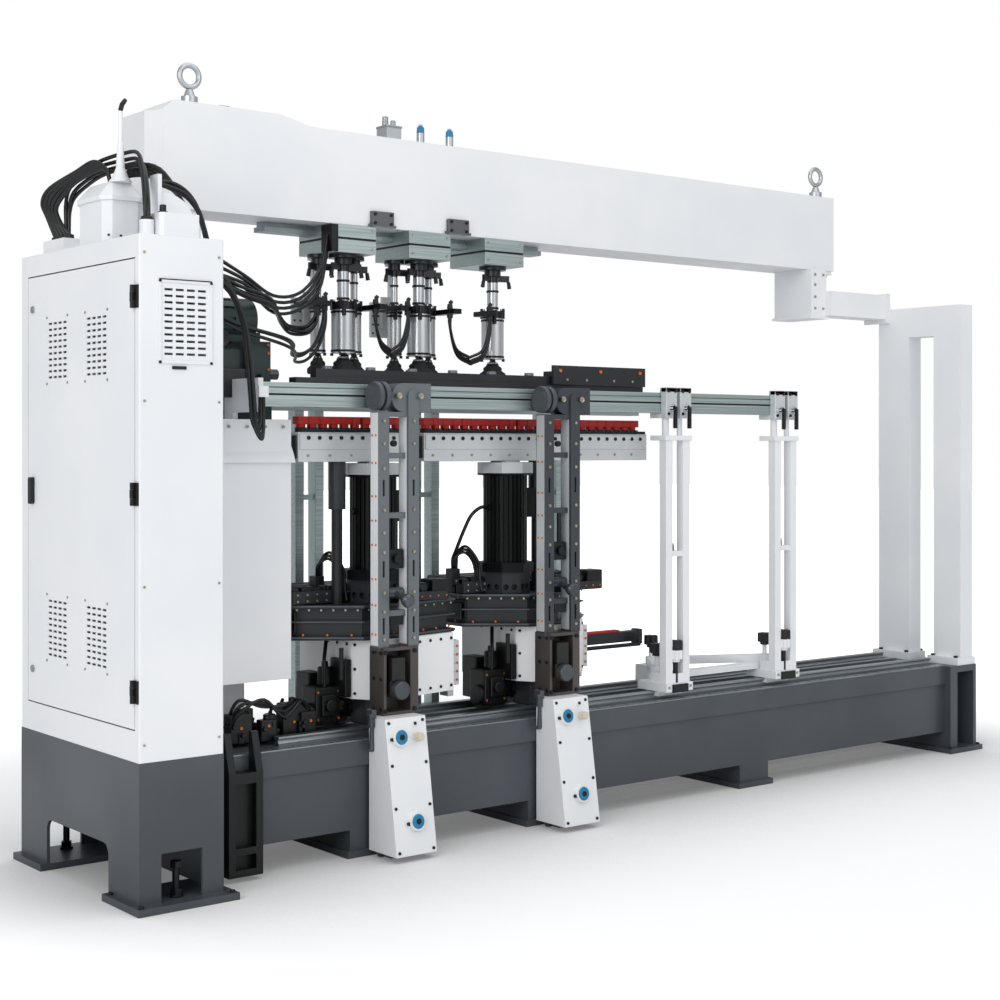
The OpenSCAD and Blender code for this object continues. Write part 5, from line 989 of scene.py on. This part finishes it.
# Side boring unit
bm = bmesh.new()
for x, z, r in ((296, 1300, 30), (360, 1262, 24)):
    addRod(bm, (x, 300, z), (x, 286, z), r, r - 3, 28, 2)
addBlock(bm, (330, 262, 1120), (412, 300, 1190), 3)
addRod(bm, (440, 268, 1130), (440, 240, 1130), 12, 10, 18, 1.5)
addRod(bm, (452, 268, 1170), (452, 246, 1170), 9, 8, 18, 1.5)
pieceFrom("sideGearCovers", bm, "basePaint", "side_unit")
spots = [(x, 269.8, z) for x in (426, 478) for z in (1116, 1150, 1190, 1230, 1250)]
screwPiece("sideGearBolts", spots, "orangeBolt", "side_unit", 3.6, 2.4)
bm = bmesh.new()
addRod(bm, (279.5, 360, 1313), (268, 360, 1313), 53, 48, 40, 3)
pieceFrom("sideFanCover", bm, "motorBlack", "side_unit", smooth=True)
screwPiece("housingBolts", [(x, 235.8, 1050) for x in (350, 400, 450, 500)], "zincBolt", "frame", 4, 2.5)
print("side unit dressed")


# Floor. It turns from clear to gone, in metres from the middle, into the white backdrop, and has a small
# share of that white up close. Within reach of the machine its colour darkens, by ambient occlusion, to a
# painted shadow.
ground = {"size": 30, "rough": 0.75, "shine": 0.15, "clear": 1.5, "gone": 3.1, "near": 0.1, "reach": 0.8,
          "paintedShadowDarkest": 0.16, "samples": 4, "glow": 1.6}
plainWhite = (1, 1, 1, 1)
bm = bmesh.new()
bmesh.ops.create_grid(bm, x_segments=1, y_segments=1, size=ground["size"])
floorMesh = bpy.data.meshes.new("floor")
bm.to_mesh(floorMesh)
bm.free()
floor = bpy.data.objects.new("floor", floorMesh)
scene.collection.objects.link(floor)
floorPaint = bpy.data.materials.new("floorPaint")
floorPaint.use_nodes = True
floorMesh.materials.append(floorPaint)
tree = floorPaint.node_tree.nodes
link = floorPaint.node_tree.links.new
diffuse = tree["Principled BSDF"]
diffuse.inputs["Roughness"].default_value = ground["rough"]
diffuse.inputs["Specular IOR Level"].default_value = ground["shine"]
# ambient occlusion darkens the floor's colour near the machine: painted shadow
paintedShadowOcclusion = tree.new("ShaderNodeAmbientOcclusion")
paintedShadowOcclusion.samples = ground["samples"]
paintedShadowOcclusion.inputs["Distance"].default_value = ground["reach"]
shadowTone = tree.new("ShaderNodeMapRange")
shadowTone.inputs["To Min"].default_value = ground["paintedShadowDarkest"]
spot = tree.new("ShaderNodeTexCoord")
distance = tree.new("ShaderNodeVectorMath")
distance.operation = "LENGTH"
share = tree.new("ShaderNodeMapRange")
share.interpolation_type = "SMOOTHSTEP"
share.inputs["From Min"].default_value = ground["clear"]
share.inputs["From Max"].default_value = ground["gone"]
share.inputs["To Min"].default_value = ground["near"]
glow = tree.new("ShaderNodeEmission")
glow.inputs["Color"].default_value = plainWhite
glow.inputs["Strength"].default_value = ground["glow"]
sight = tree.new("ShaderNodeLightPath")
seenShare = tree.new("ShaderNodeMath")
seenShare.operation = "MULTIPLY"
blendFloor = tree.new("ShaderNodeMixShader")
for source, target in ((paintedShadowOcclusion.outputs["AO"], shadowTone.inputs["Value"]),
                       (shadowTone.outputs["Result"], diffuse.inputs["Base Color"]),
                       (spot.outputs["Object"], distance.inputs[0]),
                       (distance.outputs["Value"], share.inputs["Value"]),
                       (share.outputs["Result"], seenShare.inputs[0]),
                       (sight.outputs["Is Camera Ray"], seenShare.inputs[1]),
                       (seenShare.outputs[0], blendFloor.inputs[0]),
                       (diffuse.outputs[0], blendFloor.inputs[1]),
                       (glow.outputs[0], blendFloor.inputs[2]),
                       (blendFloor.outputs[0], tree["Material Output"].inputs[0])):
    link(source, target)

# World: soft light on the machine, plain white where the camera sees it
sky = {"colour": (0.96, 0.98, 1.0, 1), "strength": 0.52}
world = bpy.data.worlds.new("studio")
scene.world = world
world.use_nodes = True
tree = world.node_tree.nodes
link = world.node_tree.links.new
soft = tree["Background"]
soft.inputs["Color"].default_value = sky["colour"]
soft.inputs["Strength"].default_value = sky["strength"]
white = tree.new("ShaderNodeBackground")
white.inputs["Color"].default_value = plainWhite
white.inputs["Strength"].default_value = 1.0
rays = tree.new("ShaderNodeLightPath")
seen = tree.new("ShaderNodeMath")
seen.operation = "MAXIMUM"
mixed = tree.new("ShaderNodeMixShader")
for source, target in ((rays.outputs["Is Camera Ray"], seen.inputs[0]),
                       (rays.outputs["Is Transmission Ray"], seen.inputs[1]),
                       (seen.outputs[0], mixed.inputs[0]),
                       (soft.outputs[0], mixed.inputs[1]),
                       (white.outputs[0], mixed.inputs[2]),
                       (mixed.outputs[0], tree["World Output"].inputs[0])):
    link(source, target)

lamps = {
    "leftBox": {"place": (-5.0, -2.2, 2.6), "aim": (-0.4, 0.0, 0.9), "size": 3.0, "power": 92},
    "frontBox": {"place": (0.5, -5.0, 3.4), "aim": (0.2, 0.0, 0.8), "size": 4.0, "power": 62},
    "topBox": {"place": (0.0, -0.6, 5.0), "aim": (0.0, 0.0, 0.8), "size": 4.5, "power": 66},
}
for name, lamp in lamps.items():
    light = bpy.data.objects.new(name, bpy.data.lights.new(name, "AREA"))
    scene.collection.objects.link(light)
    light.location = lamp["place"]
    light.rotation_euler = (Vector(lamp["aim"]) - Vector(lamp["place"])).to_track_quat("-Z", "Y").to_euler()
    light.data.size = lamp["size"]
    light.data.energy = lamp["power"]
print("studio ready")
